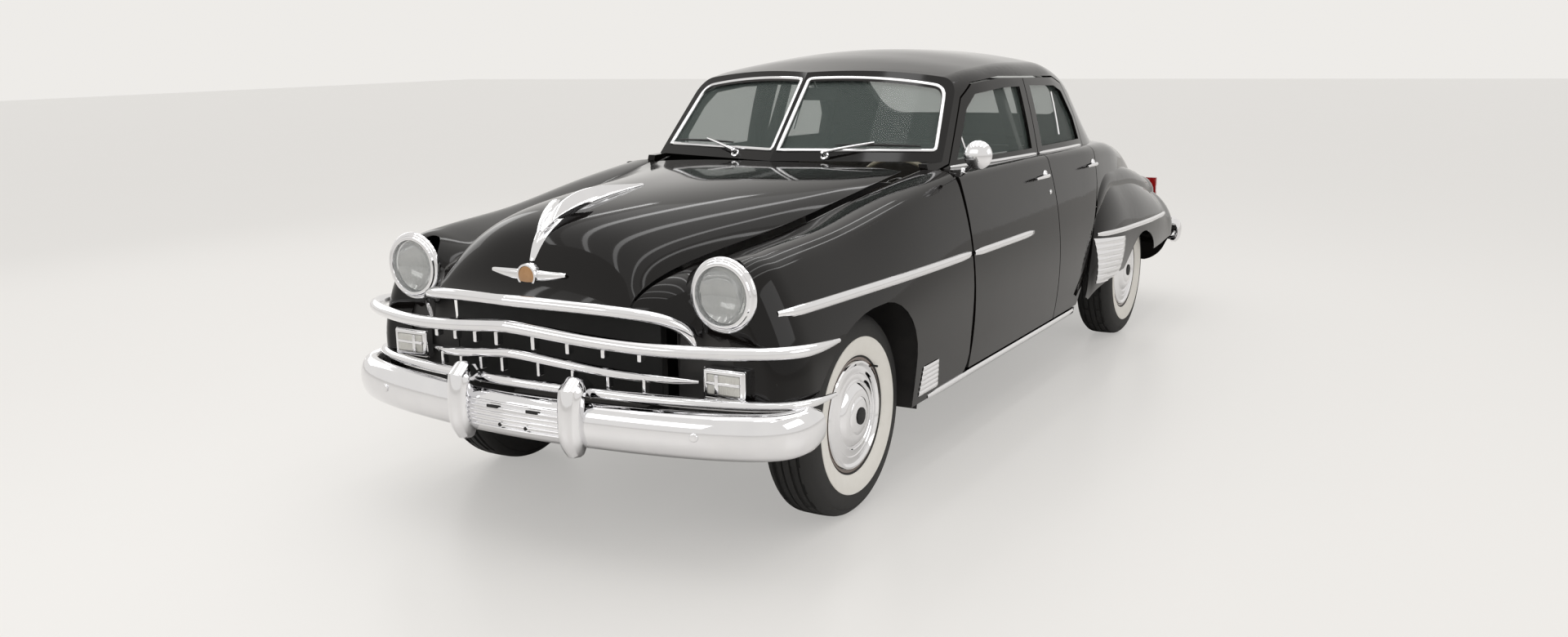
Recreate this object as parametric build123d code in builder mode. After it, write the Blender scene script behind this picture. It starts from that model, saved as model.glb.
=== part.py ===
# 1950s four-door family sedan, millimetres.
# X to the car's left, -Y forward, Z up, ground at Z 0, X 0 on the centre line.
import os
from math import cos, radians, sin

from build123d import *

# ---- driving sizes ----------------------------------------------------------
wheelbase = 3188
front_axle_y = -1785
rear_axle_y = front_axle_y + wheelbase
front_track = 1430
rear_track = 1520
tyre_radius = 355
tyre_width = 190
rim_radius = 190.5
wheel_bore = 36
steer_offset = 60

gap = 6
door_gap = 8
skin = 6
door_depth = 60
frame_depth = 34
glass_depth = 14
glass_thick = 6

hood_edge_drop = 10
row_spacing = 140
cabin_base_z = 940
sill_z = 300
belt_drop = 60
ground_z = 0

door_front_y = -897
pillar_y = 143
door_hinge_x = 878
door_hinge_lead = 10

hood_rear_y = -985
cowl_half = 600
bumper_front_y = -2645
bumper_rear_y = 2645


# ---- section helpers ---------------------------------------------------------
def across(y):
    return Plane.XZ.offset(-y)


def slopes(xs, ys):
    steps = [(ys[i + 1] - ys[i]) / (xs[i + 1] - xs[i]) for i in range(len(xs) - 1)]
    inner = [0 if a * b <= 0 else 2 * a * b / (a + b) for a, b in zip(steps, steps[1:])]
    return [steps[0]] + inner + [steps[-1]]


def smooth_rows(rows, spacing):
    # the same table with rows eased in between, no overshoot
    ys = [row[0] for row in rows]
    columns = list(zip(*rows))[1:]
    tangents = [slopes(ys, column) for column in columns]
    out = []
    for i in range(len(rows) - 1):
        span = ys[i + 1] - ys[i]
        count = max(1, round(abs(span) / spacing))
        for k in range(count):
            t = k / count
            blend = (2 * t**3 - 3 * t**2 + 1, t**3 - 2 * t**2 + t, 3 * t**2 - 2 * t**3, t**3 - t**2)
            out.append((ys[i] + t * span,) + tuple(
                blend[0] * column[i] + blend[1] * span * slope[i]
                + blend[2] * column[i + 1] + blend[3] * span * slope[i + 1]
                for column, slope in zip(columns, tangents)))
    return out + [tuple(rows[-1])]


def rounded_end(row, reach, depth):
    # rows that carry the last section on to a rounded end, with how far each one shrinks
    turns = (0, 18, 36, 54, 70, 84)
    return [((row[0] + reach * sin(radians(turn)),) + row[1:], depth * (1 - cos(radians(turn)))) for turn in turns]


def lower_section(row, inset, shrink=0):
    y, sill_x, wide_x, wide_z, belt_x, belt_z, crown_z, base_z, corner = row
    xs, xw, xb = (x - inset - shrink for x in (sill_x, wide_x, belt_x))
    zb, zc, z0 = belt_z - inset - shrink, crown_z - inset - shrink, base_z + inset * 0.4 + shrink * 0.2
    with BuildSketch(across(y)) as sketch:
        with BuildLine():
            ThreePointArc((xs, z0), (xw, wide_z), (xb, zb))
            ThreePointArc((xb, zb), (0, zc), (-xb, zb))
            ThreePointArc((-xb, zb), (-xw, wide_z), (-xs, z0))
            Line((-xs, z0), (xs, z0))
        make_face()
        tops = sketch.vertices().sort_by(Axis.Y)[-2:]
        fillet(tops, max(corner - inset, 12))
    return sketch.sketch.face()


def cabin_section(row, inset):
    y, belt_x, roof_x, roof_z, crown_z, corner = row
    xb, xr = belt_x - inset, roof_x - inset
    zr, zc = roof_z - inset, crown_z - inset
    z0 = cabin_base_z
    xm, zm = (xb + xr) / 2 + 14, (z0 + zr) / 2
    with BuildSketch(across(y)) as sketch:
        with BuildLine():
            ThreePointArc((xb, z0), (xm, zm), (xr, zr))
            ThreePointArc((xr, zr), (0, zc), (-xr, zr))
            ThreePointArc((-xr, zr), (-xm, zm), (-xb, z0))
            Line((-xb, z0), (xb, z0))
        make_face()
        tops = sketch.vertices().sort_by(Axis.Y)[-2:]
        fillet(tops, max(corner - inset, 12))
    return sketch.sketch.face()


# y, sill x, widest x, widest z, belt x, belt z, crown z, base z, corner radius
lower_rows = (
    (-1010, 846, 880, 660, 800, 1098, 1128, 300, 40),
    (-500, 848, 882, 660, 802, 1092, 1120, 300, 40),
    (100, 850, 882, 660, 806, 1086, 1112, 300, 40),
    (700, 846, 878, 660, 806, 1074, 1106, 300, 50),
    (1200, 820, 850, 680, 780, 1056, 1106, 320, 80),
    (1600, 770, 800, 680, 728, 1004, 1078, 350, 120),
    (1900, 720, 758, 660, 676, 920, 1024, 390, 140),
    (2150, 680, 716, 620, 630, 820, 938, 420, 140),
)
tail_reach = 300
tail_depth = 210
# y, belt x, roof edge x, roof edge z, crown z, corner radius
cabin_rows = (
    (-1040, 700, 560, 1350, 1420, 90),
    (-640, 745, 610, 1425, 1482, 100),
    (-300, 772, 650, 1470, 1540, 110),
    (100, 786, 664, 1486, 1568, 120),
    (500, 788, 656, 1480, 1560, 130),
    (850, 780, 628, 1420, 1512, 150),
    (1100, 764, 590, 1300, 1392, 150),
    (1300, 744, 550, 1150, 1236, 120),
    (1480, 720, 500, 1025, 1040, 30),
)


def extended(rows, lead):
    return [(rows[0][0] + lead,) + rows[0][1:]] + list(rows[1:])


def lower_body(inset, lead):
    ends = rounded_end(lower_rows[-1], tail_reach - inset, tail_depth)
    sections = [lower_section(row, inset) for row in smooth_rows(extended(lower_rows, lead), row_spacing)[:-1]]
    return loft(sections + [lower_section(row, inset, shrink) for row, shrink in ends])


# ---- shared shapes -----------------------------------------------------------
def cabin_body(inset, lead):
    return loft([cabin_section(row, inset) for row in smooth_rows(extended(cabin_rows, lead), row_spacing)])


with BuildPart() as lower_outer:
    add(lower_body(0, 0))

with BuildPart() as lower_inner:
    add(lower_body(door_depth, -33))

with BuildPart() as cabin_outer:
    add(cabin_body(0, 0))

with BuildPart() as cabin_inner:
    add(cabin_body(frame_depth, -37))

with BuildPart() as cabin_glass_outer:
    add(cabin_body(glass_depth, 0))

with BuildPart() as cabin_glass_inner:
    add(cabin_body(glass_depth + glass_thick, -37))

# y, sill x, widest x, widest z, crest edge x, z, crest x, z, valley x, z, corner radius
fender_rows = (
    (-860, 847, 881, 660, 801, 1096, 720, 1110, 634, 1112, 40),
    (-1350, 850, 884, 640, 800, 1044, 700, 1062, 570, 1044, 70),
    (-1785, 852, 888, 610, 790, 975, 690, 992, 500, 962, 90),
    (-2000, 850, 888, 600, 784, 968, 684, 988, 468, 944, 92),
    (-2200, 850, 886, 590, 776, 956, 674, 974, 436, 914, 95),
)
nose_reach = -160
nose_depth = 90
fender_base_z = 300


def rounded_corner(edge_x, edge_z, corner, rise):
    # start, middle and end of the arc between a panel's side and its top
    low = (edge_x + corner * 0.1, edge_z - corner)
    high = (edge_x - corner, edge_z + rise)
    return low, (high[0] + (low[0] - high[0]) * 0.74, low[1] + (high[1] - low[1]) * 0.74), high


def fender_section(row, inset, shrink=0):
    y, sill_x, wide_x, wide_z, edge_x, edge_z, crest_x, crest_z, valley_x, valley_z, corner = row
    xs, xw, xe = (x - inset - shrink for x in (sill_x, wide_x, edge_x))
    ze, zv = (z - inset - shrink * 0.7 for z in (edge_z, valley_z))
    xv, z0 = valley_x + inset, fender_base_z - inset * 4
    low, mid, high = rounded_corner(xe, ze, corner, (crest_z - edge_z) * corner / (edge_x - crest_x + corner))
    with BuildSketch(across(y)) as sketch:
        with BuildLine():
            ThreePointArc((xs, z0), (xw, wide_z), low)
            ThreePointArc(low, mid, high)
            ThreePointArc(high, ((high[0] + xv) / 2, (high[1] + zv) / 2 + 8), (xv, zv))
            Line((xv, zv), (xv, z0))
            Line((xv, z0), (xs, z0))
        make_face()
    return sketch.sketch.face()


def fender_body(inset, back):
    ends = rounded_end(fender_rows[-1], nose_reach + inset, nose_depth)
    sections = [fender_section(row, inset) for row in smooth_rows(extended(fender_rows, back), row_spacing)[:-1]]
    return loft(sections + [fender_section(row, inset, shrink) for row, shrink in ends])


with BuildPart() as fender_outer:
    add(fender_body(0, 0))

with BuildPart() as fender_inner:
    add(fender_body(skin, 20))

# y, seam x, seam z, shoulder x, shoulder z, crown z, corner radius
hood_rows = (
    (-991, 600, 1108, 420, 1120, 1128, 60),
    (-1350, 560, 1052, 380, 1096, 1120, 100),
    (-1785, 492, 976, 330, 1066, 1098, 120),
    (-2050, 452, 946, 300, 1030, 1066, 120),
    (-2250, 424, 908, 280, 980, 1014, 110),
)
hood_reach = -310
hood_depth = 220


def hood_curve(row, inset, shrink):
    y, seam_x, seam_z, shoulder_x, shoulder_z, crown_z, corner = row
    xs, xh = seam_x - inset * 1.3 - shrink * 0.45, shoulder_x - inset * 0.5 - shrink * 0.35
    seam_z, zh, zc = seam_z - shrink * 0.5, shoulder_z - inset - shrink * 0.95, crown_z - inset - shrink
    z0, zs = seam_z - hood_edge_drop, seam_z - inset
    mid = ((xs + xh) / 2 + corner * 0.16, (zs + zh) / 2 + corner * 0.2)
    return (xs, z0), (xs, zs), mid, (xh, zh), (0, zc)


def hood_section(row, shrink, inner_shrink):
    outer = hood_curve(row, 0, shrink)
    inner = hood_curve(row, skin, inner_shrink)
    with BuildSketch(across(row[0])) as sketch:
        with BuildLine():
            for foot, lip, mid, shoulder, crown in (outer, inner):
                for side in (1, -1):
                    Line((side * foot[0], foot[1]), (side * lip[0], lip[1]))
                    ThreePointArc((side * lip[0], lip[1]), (side * mid[0], mid[1]), (side * shoulder[0], shoulder[1]))
                ThreePointArc(shoulder, crown, (-shoulder[0], shoulder[1]))
            for side in (1, -1):
                Line((side * outer[0][0], outer[0][1]), (side * inner[0][0], inner[0][1]))
        make_face()
    return sketch.sketch.face()


def hood_body():
    sections = [hood_section(row, 0, 0) for row in smooth_rows(hood_rows, row_spacing)]
    last = hood_rows[-1]
    for turn in (18, 34, 48, 60, 70):
        lean = sin(radians(turn))
        inner_lean = lean * hood_reach / (hood_reach + skin)
        row = (last[0] + hood_reach * lean,) + last[1:]
        sections.append(hood_section(row, hood_depth * (1 - cos(radians(turn))),
                                     hood_depth * (1 - (1 - inner_lean**2) ** 0.5)))
    return loft(sections)


with BuildPart() as hood:
    add(hood_body())


# door outlines in side view, (y, z)
door_inner_x = 540
door_low_z = 326
front_door_outline = (
    (door_front_y, door_low_z), (pillar_y - door_gap / 2, door_low_z), (pillar_y - door_gap / 2, 1432),
    (-120, 1440), (-400, 1424), (-520, 1368), (-742, 1112), (door_front_y, 1085),
)
rear_door_outline = (
    (pillar_y + door_gap / 2, door_low_z), (500, door_low_z), (640, 640), (800, 900), (868, 1075),
    (845, 1240), (740, 1385), (600, 1420), (pillar_y + door_gap / 2, 1432),
)
front_window_outline = (
    (-668, 1130), (-500, 1325), (-400, 1382), (-120, 1398), (75, 1396), (75, 1120),
)
rear_window_outline = (
    (210, 1120), (210, 1396), (580, 1382), (700, 1350), (800, 1220), (815, 1110),
)


def outset(points, amount):
    with BuildSketch(Plane.YZ.offset(door_inner_x)) as sketch:
        with BuildLine():
            Polyline(*points, close=True)
        make_face()
        offset(amount=amount, kind=Kind.INTERSECTION)
    return extrude(sketch.sketch, amount=1000)


front_prism = outset(front_door_outline, 0)
rear_prism = outset(rear_door_outline, 0)
front_hole = outset(front_door_outline, door_gap)
rear_hole = outset(rear_door_outline, door_gap)
front_pane_hole = outset(front_window_outline, 0)
rear_pane_hole = outset(rear_window_outline, 0)

# windscreen planes, one each side of the centre divider
screen_foot = Vector(0, -960, 1156)
screen_head = Vector(0, -666, 1464)
screen_corner = Vector(627, -830, 1107)
screen_up = (screen_head - screen_foot).normalized()
screen_normal = screen_up.cross(screen_corner - screen_foot).normalized()
if screen_normal.Y > 0:
    screen_normal = -screen_normal
screen_across = screen_up.cross(screen_normal)
screen_plane = Plane(screen_foot, x_dir=screen_across, z_dir=screen_normal)
cowl_top_z = 1130
screen_frame_depth = 26


def screen_slab(low, high):
    # space between two offsets of both windscreen planes
    halves = []
    for side in (1, -1):
        origin = Vector(0, screen_foot.Y, screen_foot.Z)
        normal = Vector(side * screen_normal.X, screen_normal.Y, screen_normal.Z)
        across_x = Vector(side * screen_across.X, screen_across.Y, screen_across.Z)
        with BuildPart() as half:
            with BuildSketch(Plane(origin, x_dir=across_x, z_dir=normal).offset(low)):
                Rectangle(3000, 3000)
            extrude(amount=high - low)
            with Locations((side * 1500, screen_foot.Y, cowl_top_z)):
                Box(3000, 4000, 1000, align=(Align.CENTER, Align.CENTER, Align.MIN), mode=Mode.INTERSECT)
        halves.append(half.part)
    return halves


with BuildPart() as body_outer:
    add(lower_outer.part)
    add(cabin_outer.part)
    for half in screen_slab(-screen_frame_depth, 900):
        add(half, mode=Mode.SUBTRACT)

with BuildPart() as body_inner:
    add(lower_inner.part)
    add(cabin_inner.part)

# rear fenders: y, sill x, widest x, widest z, crest edge x, z, inner x, z, corner radius
rear_fender_rows = (
    (480, 852, 880, 420, 868, 470, 700, 500, 30),
    (620, 850, 905, 480, 872, 640, 700, 690, 50),
    (800, 846, 930, 560, 868, 850, 700, 900, 70),
    (1020, 844, 940, 590, 850, 930, 690, 948, 80),
    (1403, 838, 940, 590, 830, 918, 640, 930, 90),
    (1750, 826, 930, 580, 812, 868, 600, 878, 90),
    (2060, 804, 906, 570, 790, 800, 540, 806, 90),
)
rear_reach = 280
rear_depth = 150
rear_fender_base_z = 262


def rear_fender_section(row, inset, shrink=0):
    y, sill_x, wide_x, wide_z, edge_x, edge_z, inner_x, inner_z, corner = row
    xs, xw, xe = (x - inset - shrink * 0.8 for x in (sill_x, wide_x, edge_x))
    ze, zi = (z - inset - shrink for z in (edge_z, inner_z))
    xi, z0 = inner_x - inset * 4, rear_fender_base_z - inset * 4
    low, mid, high = rounded_corner(xe, ze, corner, (zi - ze) * corner / (xe - xi))
    with BuildSketch(across(y)) as sketch:
        with BuildLine():
            ThreePointArc((xs, z0), (xw, wide_z - shrink * 0.4), low)
            ThreePointArc(low, mid, high)
            Line(high, (xi, zi))
            Line((xi, zi), (xi, z0))
            Line((xi, z0), (xs, z0))
        make_face()
    return sketch.sketch.face()


def rear_fender_body(inset, back):
    ends = rounded_end(rear_fender_rows[-1], rear_reach - inset, rear_depth)
    rows = smooth_rows(extended(rear_fender_rows, -back), row_spacing)
    sections = [rear_fender_section(row, inset) for row in rows[:-1]]
    return loft(sections + [rear_fender_section(row, inset, shrink) for row, shrink in ends])


with BuildPart() as rear_fender_outer:
    add(rear_fender_body(0, 0))

with BuildPart() as rear_fender_inner:
    add(rear_fender_body(skin, 20))

# trunk lid outline seen from above, (x, y)
trunk_outline = ((-520, 1420), (520, 1420), (560, 1700), (545, 2050), (470, 2390), (440, 2460),
                 (-440, 2460), (-470, 2390), (-545, 2050), (-560, 1700))
trunk_low_z = 560

with BuildPart() as trunk_prism:
    with BuildSketch(Plane.XY.offset(trunk_low_z)):
        with BuildLine():
            Polyline(*trunk_outline, close=True)
        make_face()
    extrude(amount=800)

with BuildPart() as trunk_hole:
    with BuildSketch(Plane.XY.offset(trunk_low_z - gap)):
        with BuildLine():
            Polyline(*trunk_outline, close=True)
        make_face()
        offset(amount=gap, kind=Kind.INTERSECTION)
    extrude(amount=800)

# rear window seen from behind, (x, z)
with BuildPart() as rear_light_hole:
    with BuildSketch(across(2200)):
        with Locations((0, 1322)):
            RectangleRounded(1040, 236, 90)
    extrude(amount=1400)

arch_front = ((-2275, 280), (-2262, 470), (-1975, 693), (-1725, 735), (-1515, 660), (-1441, 500), (-1441, 280))
with BuildPart() as front_arch:
    with BuildSketch(Plane.YZ.offset(420)):
        with BuildLine():
            Polyline(arch_front[0], arch_front[1])
            ThreePointArc(arch_front[1], arch_front[2], arch_front[3])
            ThreePointArc(arch_front[3], arch_front[4], arch_front[5])
            Polyline(arch_front[5], arch_front[6], arch_front[0])
        make_face()
    extrude(amount=640)

rear_arch_reach = 356
rear_arch_top = 575
with BuildPart() as rear_arch:
    with BuildSketch(Plane.YZ.offset(560)):
        with BuildLine():
            ThreePointArc((rear_axle_y - rear_arch_reach, 240), (rear_axle_y, rear_arch_top),
                          (rear_axle_y + rear_arch_reach, 240))
            Line((rear_axle_y + rear_arch_reach, 240), (rear_axle_y - rear_arch_reach, 240))
        make_face()
    extrude(amount=500)

wheel_house_r = 415
with BuildPart() as rear_house:
    with BuildSketch(Plane.YZ.offset(560)):
        with Locations((rear_axle_y, tyre_radius)):
            Circle(wheel_house_r)
    extrude(amount=500)

front_cut_y = door_front_y - door_gap

with BuildPart() as body_shell:
    add(body_outer.part)
    add(body_inner.part, mode=Mode.SUBTRACT)
    with Locations((0, hood_rear_y - 600, 700)):
        Box(2400, 1200, 1800, mode=Mode.SUBTRACT)
    with Locations((-cowl_half - 300, front_cut_y - 60, 700), (cowl_half + 300, front_cut_y - 60, 700)):
        Box(600, 120, 1800, mode=Mode.SUBTRACT)
    with Locations((0, front_cut_y - 60, 700)):
        Box(2400, 120, 700, mode=Mode.SUBTRACT)
    with Locations((0, 700, sill_z)):
        Box(1380, 3400, 300, mode=Mode.SUBTRACT)
    for prism in (front_hole, rear_hole):
        add(prism, mode=Mode.SUBTRACT)
        add(prism.mirror(Plane.YZ), mode=Mode.SUBTRACT)
    add(trunk_hole.part, mode=Mode.SUBTRACT)
    add(rear_light_hole.part, mode=Mode.SUBTRACT)
    with Locations((0, 1740, 420)):
        Box(1100, 1400, 280, mode=Mode.SUBTRACT)
    for shape in (rear_house.part, rear_fender_outer.part):
        add(shape, mode=Mode.SUBTRACT)
        add(shape.mirror(Plane.YZ), mode=Mode.SUBTRACT)


def save(part, name):
    part.label = name
    export_step(part, f"parts/{name}.step")


save(body_shell.part, "body_shell")

with BuildPart() as pane_wall:
    add(cabin_glass_outer.part)
    add(cabin_glass_inner.part, mode=Mode.SUBTRACT)

door_rows = (
    ("front", front_prism, front_pane_hole),
    ("rear", rear_prism, rear_pane_hole),
)
for place, prism, hole in door_rows:
    with BuildPart() as door:
        add(lower_outer.part)
        add(cabin_outer.part)
        add(prism, mode=Mode.INTERSECT)
        add(lower_inner.part, mode=Mode.SUBTRACT)
        add(cabin_inner.part, mode=Mode.SUBTRACT)
        add(hole, mode=Mode.SUBTRACT)
    with BuildPart() as glass:
        add(pane_wall.part)
        add(hole, mode=Mode.INTERSECT)
    save(door.part, f"{place}_left_door")
    save(door.part.mirror(Plane.YZ), f"{place}_right_door")
    save(glass.part, f"{place}_left_door_glass")
    save(glass.part.mirror(Plane.YZ), f"{place}_right_door_glass")

with BuildPart() as front_fender:
    add(fender_outer.part)
    add(fender_inner.part, mode=Mode.SUBTRACT)
    add(front_arch.part, mode=Mode.SUBTRACT)
    with Locations((0, front_cut_y + 500, 700)):
        Box(3000, 1000, 1800, mode=Mode.SUBTRACT)
    with Locations((0, -2420, 340)):
        Box(3000, 300, 120, mode=Mode.SUBTRACT)
    # room for the steered tyre in the inner wall
    with Locations((600, -1385, 400)):
        Box(240, 120, 240, mode=Mode.SUBTRACT)


def on_both_sides(shape):
    return shape + shape.mirror(Plane.YZ)


def rod(x, y, z, radius, length, direction):
    return extrude(Plane((x, y, z), z_dir=direction) * Circle(radius), amount=length)


def block(x, y, z, size_x, size_y, size_z):
    return Box(size_x, size_y, size_z).moved(Location((x, y, z)))


def tube(points, radius, bore):
    # round tube along a filleted line
    with BuildPart() as run:
        with BuildLine() as path:
            FilletPolyline(*points, radius=radius * 2.2)
        with BuildSketch(Plane(origin=path.line @ 0, z_dir=path.line % 0)):
            Circle(radius)
            if bore:
                Circle(bore, mode=Mode.SUBTRACT)
        sweep()
    return run.part


headlamp_x = 642
headlamp_z = 862
lamp_face_y = -2359
lamp_rim_r = 118
lamp_lens_r = 89

lamp_well = rod(headlamp_x, lamp_face_y - 60, headlamp_z, lamp_rim_r - 22, 260, (0, 1, 0))
front_fenders = on_both_sides(front_fender.part - lamp_well)
save(front_fenders, "front_fenders")
save(hood.part, "hood")

with BuildPart() as trunk_core:
    add(lower_body(25, -33))
with BuildPart() as trunk_lid:
    add(lower_outer.part)
    add(trunk_prism.part, mode=Mode.INTERSECT)
    add(trunk_core.part, mode=Mode.SUBTRACT)
save(trunk_lid.part, "trunk_lid")

with BuildPart() as rear_fender:
    add(rear_fender_outer.part)
    add(rear_fender_inner.part, mode=Mode.SUBTRACT)
    add(rear_arch.part, mode=Mode.SUBTRACT)
    add(outset(rear_door_outline, 14), mode=Mode.SUBTRACT)
    add(lower_outer.part, mode=Mode.SUBTRACT)
save(on_both_sides(rear_fender.part.solids().sort_by(SortBy.VOLUME)[-1]), "rear_fenders")

with BuildPart() as rear_glass:
    add(pane_wall.part)
    add(rear_light_hole.part, mode=Mode.INTERSECT)

# windscreen: two panes and their frame
screen_glass_set = -14
with BuildPart() as pane_zone:
    add(cabin_outer.part)
    with Locations((0, -700, cowl_top_z)):
        Box(3000, 1600, 900, align=(Align.CENTER, Align.CENTER, Align.MIN), mode=Mode.INTERSECT)
with BuildPart() as screen_opening:
    add(cabin_inner.part)
    with Locations((0, -700, cowl_top_z + 34)):
        Box(3000, 1600, 900, align=(Align.CENTER, Align.CENTER, Align.MIN), mode=Mode.INTERSECT)
screen_frame_parts = []
screen_panes = []
for side, frame_half, glass_half in zip(
        (1, -1), screen_slab(-screen_frame_depth, 0), screen_slab(screen_glass_set - 3, screen_glass_set + 3)):
    divider = block(side * 500, -700, 1400, 970, 2000, 1600)
    screen_frame_parts.append((frame_half & pane_zone.part) - (screen_opening.part & divider))
    screen_panes.append(glass_half & screen_opening.part & block(side * 509, -700, 1400, 986, 2000, 1600))
save(screen_frame_parts[0] + screen_frame_parts[1], "windscreen_frame")
save(screen_panes[0] + screen_panes[1] + rear_glass.part, "fixed_glass")

# ---- chassis and running gear ------------------------------------------------
rail_x = 398
rail_width = 70
rail_line = ((-2545, 400), (-1420, 400), (-1300, 240), (1140, 240), (1250, 452), (1740, 452), (1880, 360), (2545, 360))
rail_height = 84
with BuildPart() as frame_rail:
    with BuildSketch(Plane.YZ.offset(rail_x - rail_width / 2)):
        with BuildLine():
            Polyline(*rail_line, *[(y, z + rail_height) for y, z in reversed(rail_line)], close=True)
        make_face()
    extrude(amount=rail_width)
# (y, z, height)
cross_rows = ((-2160, 410, 60), (-1200, 272, 60), (-300, 250, 20), (700, 250, 20), (1950, 402, 60), (2440, 402, 60))
frame_part = on_both_sides(frame_rail.part)
for cross_y, cross_z, cross_height in cross_rows:
    frame_part += block(0, cross_y, cross_z, 2 * rail_x, 80, cross_height)
save(frame_part, "chassis_frame")

floor_line = ((front_cut_y + 6, 346), (1095, 346), (1128, 566), (2370, 566))
floor_thick = 6
with BuildPart() as floor_pan:
    with BuildSketch(Plane.YZ.offset(-520)):
        with BuildLine():
            Polyline(*floor_line, *[(y, z - floor_thick) for y, z in reversed(floor_line)], close=True)
        make_face()
    extrude(amount=1040)
    with Locations((0, 10, 346 - floor_thick / 2)):
        Box(1500, 1700, floor_thick)
    with Locations((0, front_cut_y + 9, 700)):
        Box(1230, floor_thick, 700)
    with Locations((0, 1262, 800)):
        Box(1060, floor_thick, 460)
    with Locations((0, 1240, 1030)):
        Box(1060, 90, floor_thick)
save(floor_pan.part, "floor_pan")

with BuildPart() as pillars:
    for side in (1, -1):
        with Locations((side * 690, -872, 690)):
            Box(84, 50, 680)
        with Locations((side * 690, pillar_y, 691)):
            Box(70, 70, 690)
        with BuildSketch(across(pillar_y + 25)):
            with BuildLine():
                Polyline(*[(side * x, z) for x, z in ((656, 1036), (708, 1036), (574, 1405), (540, 1405))], close=True)
            make_face()
        extrude(amount=50)
save(pillars.part, "door_pillars")

engine_y = -1560
engine_part = fillet(Box(520, 860, 520).edges(), 30).moved(Location((0, engine_y, 700)))
save(engine_part, "engine_block")
save(block(0, -2160, 660, 620, 70, 440) + block(0, -2385, 660, 850, 6, 330), "radiator")

kingpin_x = front_track / 2 - 115
spindle_r = 16
knuckle_r = 25
seat_gap = 0.3
with BuildPart() as front_suspension:
    with Locations((0, front_axle_y, 320)):
        Box(720, 110, 90)
    for side in (1, -1):
        for arm_z in (282, 500):
            with Locations((side * (kingpin_x - knuckle_r - seat_gap - 115), front_axle_y, arm_z)):
                Box(230, 60, 24)
        with Locations((side * 330, front_axle_y, 411.5)):
            Box(60, 100, 153)
save(front_suspension.part, "front_suspension")

for side, place in ((1, "left"), (-1, "right")):
    knuckle_part = Cylinder(knuckle_r, 270).moved(Location((side * kingpin_x, front_axle_y, tyre_radius + 35)))
    knuckle_part += rod(side * kingpin_x, front_axle_y, tyre_radius, spindle_r, 150, (side, 0, 0))
    save(knuckle_part, f"front_{place}_knuckle")

spring_rows = ((900, 330), (1130, 268), (rear_axle_y, 240), (1680, 268), (1960, 330))
with BuildPart() as rear_axle:
    with BuildSketch(Plane.YZ.offset(-rear_track / 2 + 130)):
        with Locations((rear_axle_y, tyre_radius)):
            Circle(40)
    extrude(amount=rear_track - 260)
    with BuildSketch(Plane.YZ.offset(-110)):
        with Locations((rear_axle_y, tyre_radius)):
            Circle(130)
    extrude(amount=220)
    with BuildSketch(Plane.YZ.offset(-rear_track / 2 - 20)):
        with Locations((rear_axle_y, tyre_radius)):
            Circle(spindle_r)
    extrude(amount=rear_track + 40)
    for side in (1, -1):
        with BuildSketch(Plane.YZ.offset(side * 560 - 30)):
            with BuildLine():
                Polyline(*spring_rows, *[(y, z + 24) for y, z in reversed(spring_rows)], close=True)
            make_face()
        extrude(amount=60)
        with Locations((side * 560, rear_axle_y, 290)):
            Box(70, 90, 60)
save(rear_axle.part, "rear_axle_and_springs")

driveline_part = rod(0, -1130, 430, 85, 215, (0, 1, -0.35)) + rod(0, -925, 300, 34, 2200, (0, 1, 0))
save(driveline_part - rear_axle.part, "propeller_shaft")

exhaust_part = tube([(-300, -1360, 420), (-330, -1300, 205), (-330, 500, 205)], 24, 21)
exhaust_part += rod(-330, 500, 180, 55, 420, (0, 1, 0))
exhaust_part += tube([(-330, 920, 205), (-330, 1850, 205), (-330, 2080, 290), (-330, 2520, 290)], 24, 21)
save(exhaust_part, "exhaust_pipe")
save(fillet(Box(560, 380, 150).edges(), 30).moved(Location((0, 2195, 478))), "fuel_tank")

# wheels and tyres, drawn about X and then moved out
tyre_profile = ((-60, rim_radius + 0.8), (-64, 201), (-88, 230), (-95, 275), (-88, 318), (-66, 347), (-40, tyre_radius),
                (40, tyre_radius), (66, 347), (88, 318), (95, 275), (88, 230), (64, 201), (60, rim_radius + 0.8))
wheel_profile = ((-76, 200), (-66, 200), (-62, 191), (62, 191), (66, 200), (76, 200), (74, 184), (50, 172),
                 (44, 120), (62, 60), (66, 18), (-60, 18), (-60, 140), (-74, 145), (-74, 178))
hub_bore = spindle_r + 2
with BuildPart() as tyre:
    with BuildSketch(Plane.XY):
        with BuildLine():
            Polyline(*tyre_profile, close=True)
        make_face()
    revolve(axis=Axis.X)
with BuildPart() as wheel:
    with BuildSketch(Plane.XY):
        with BuildLine():
            Polyline(*wheel_profile, close=True)
        make_face()
    revolve(axis=Axis.X)
for place, axle_y, track in (("front", front_axle_y, front_track), ("rear", rear_axle_y, rear_track)):
    for side, hand in ((1, "left"), (-1, "right")):
        spot = Location((side * track / 2, axle_y, tyre_radius), (0, 0, 0 if side > 0 else 180))
        save(tyre.part.moved(spot), f"{place}_{hand}_tyre")
        save(wheel.part.moved(spot), f"{place}_{hand}_wheel")

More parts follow.
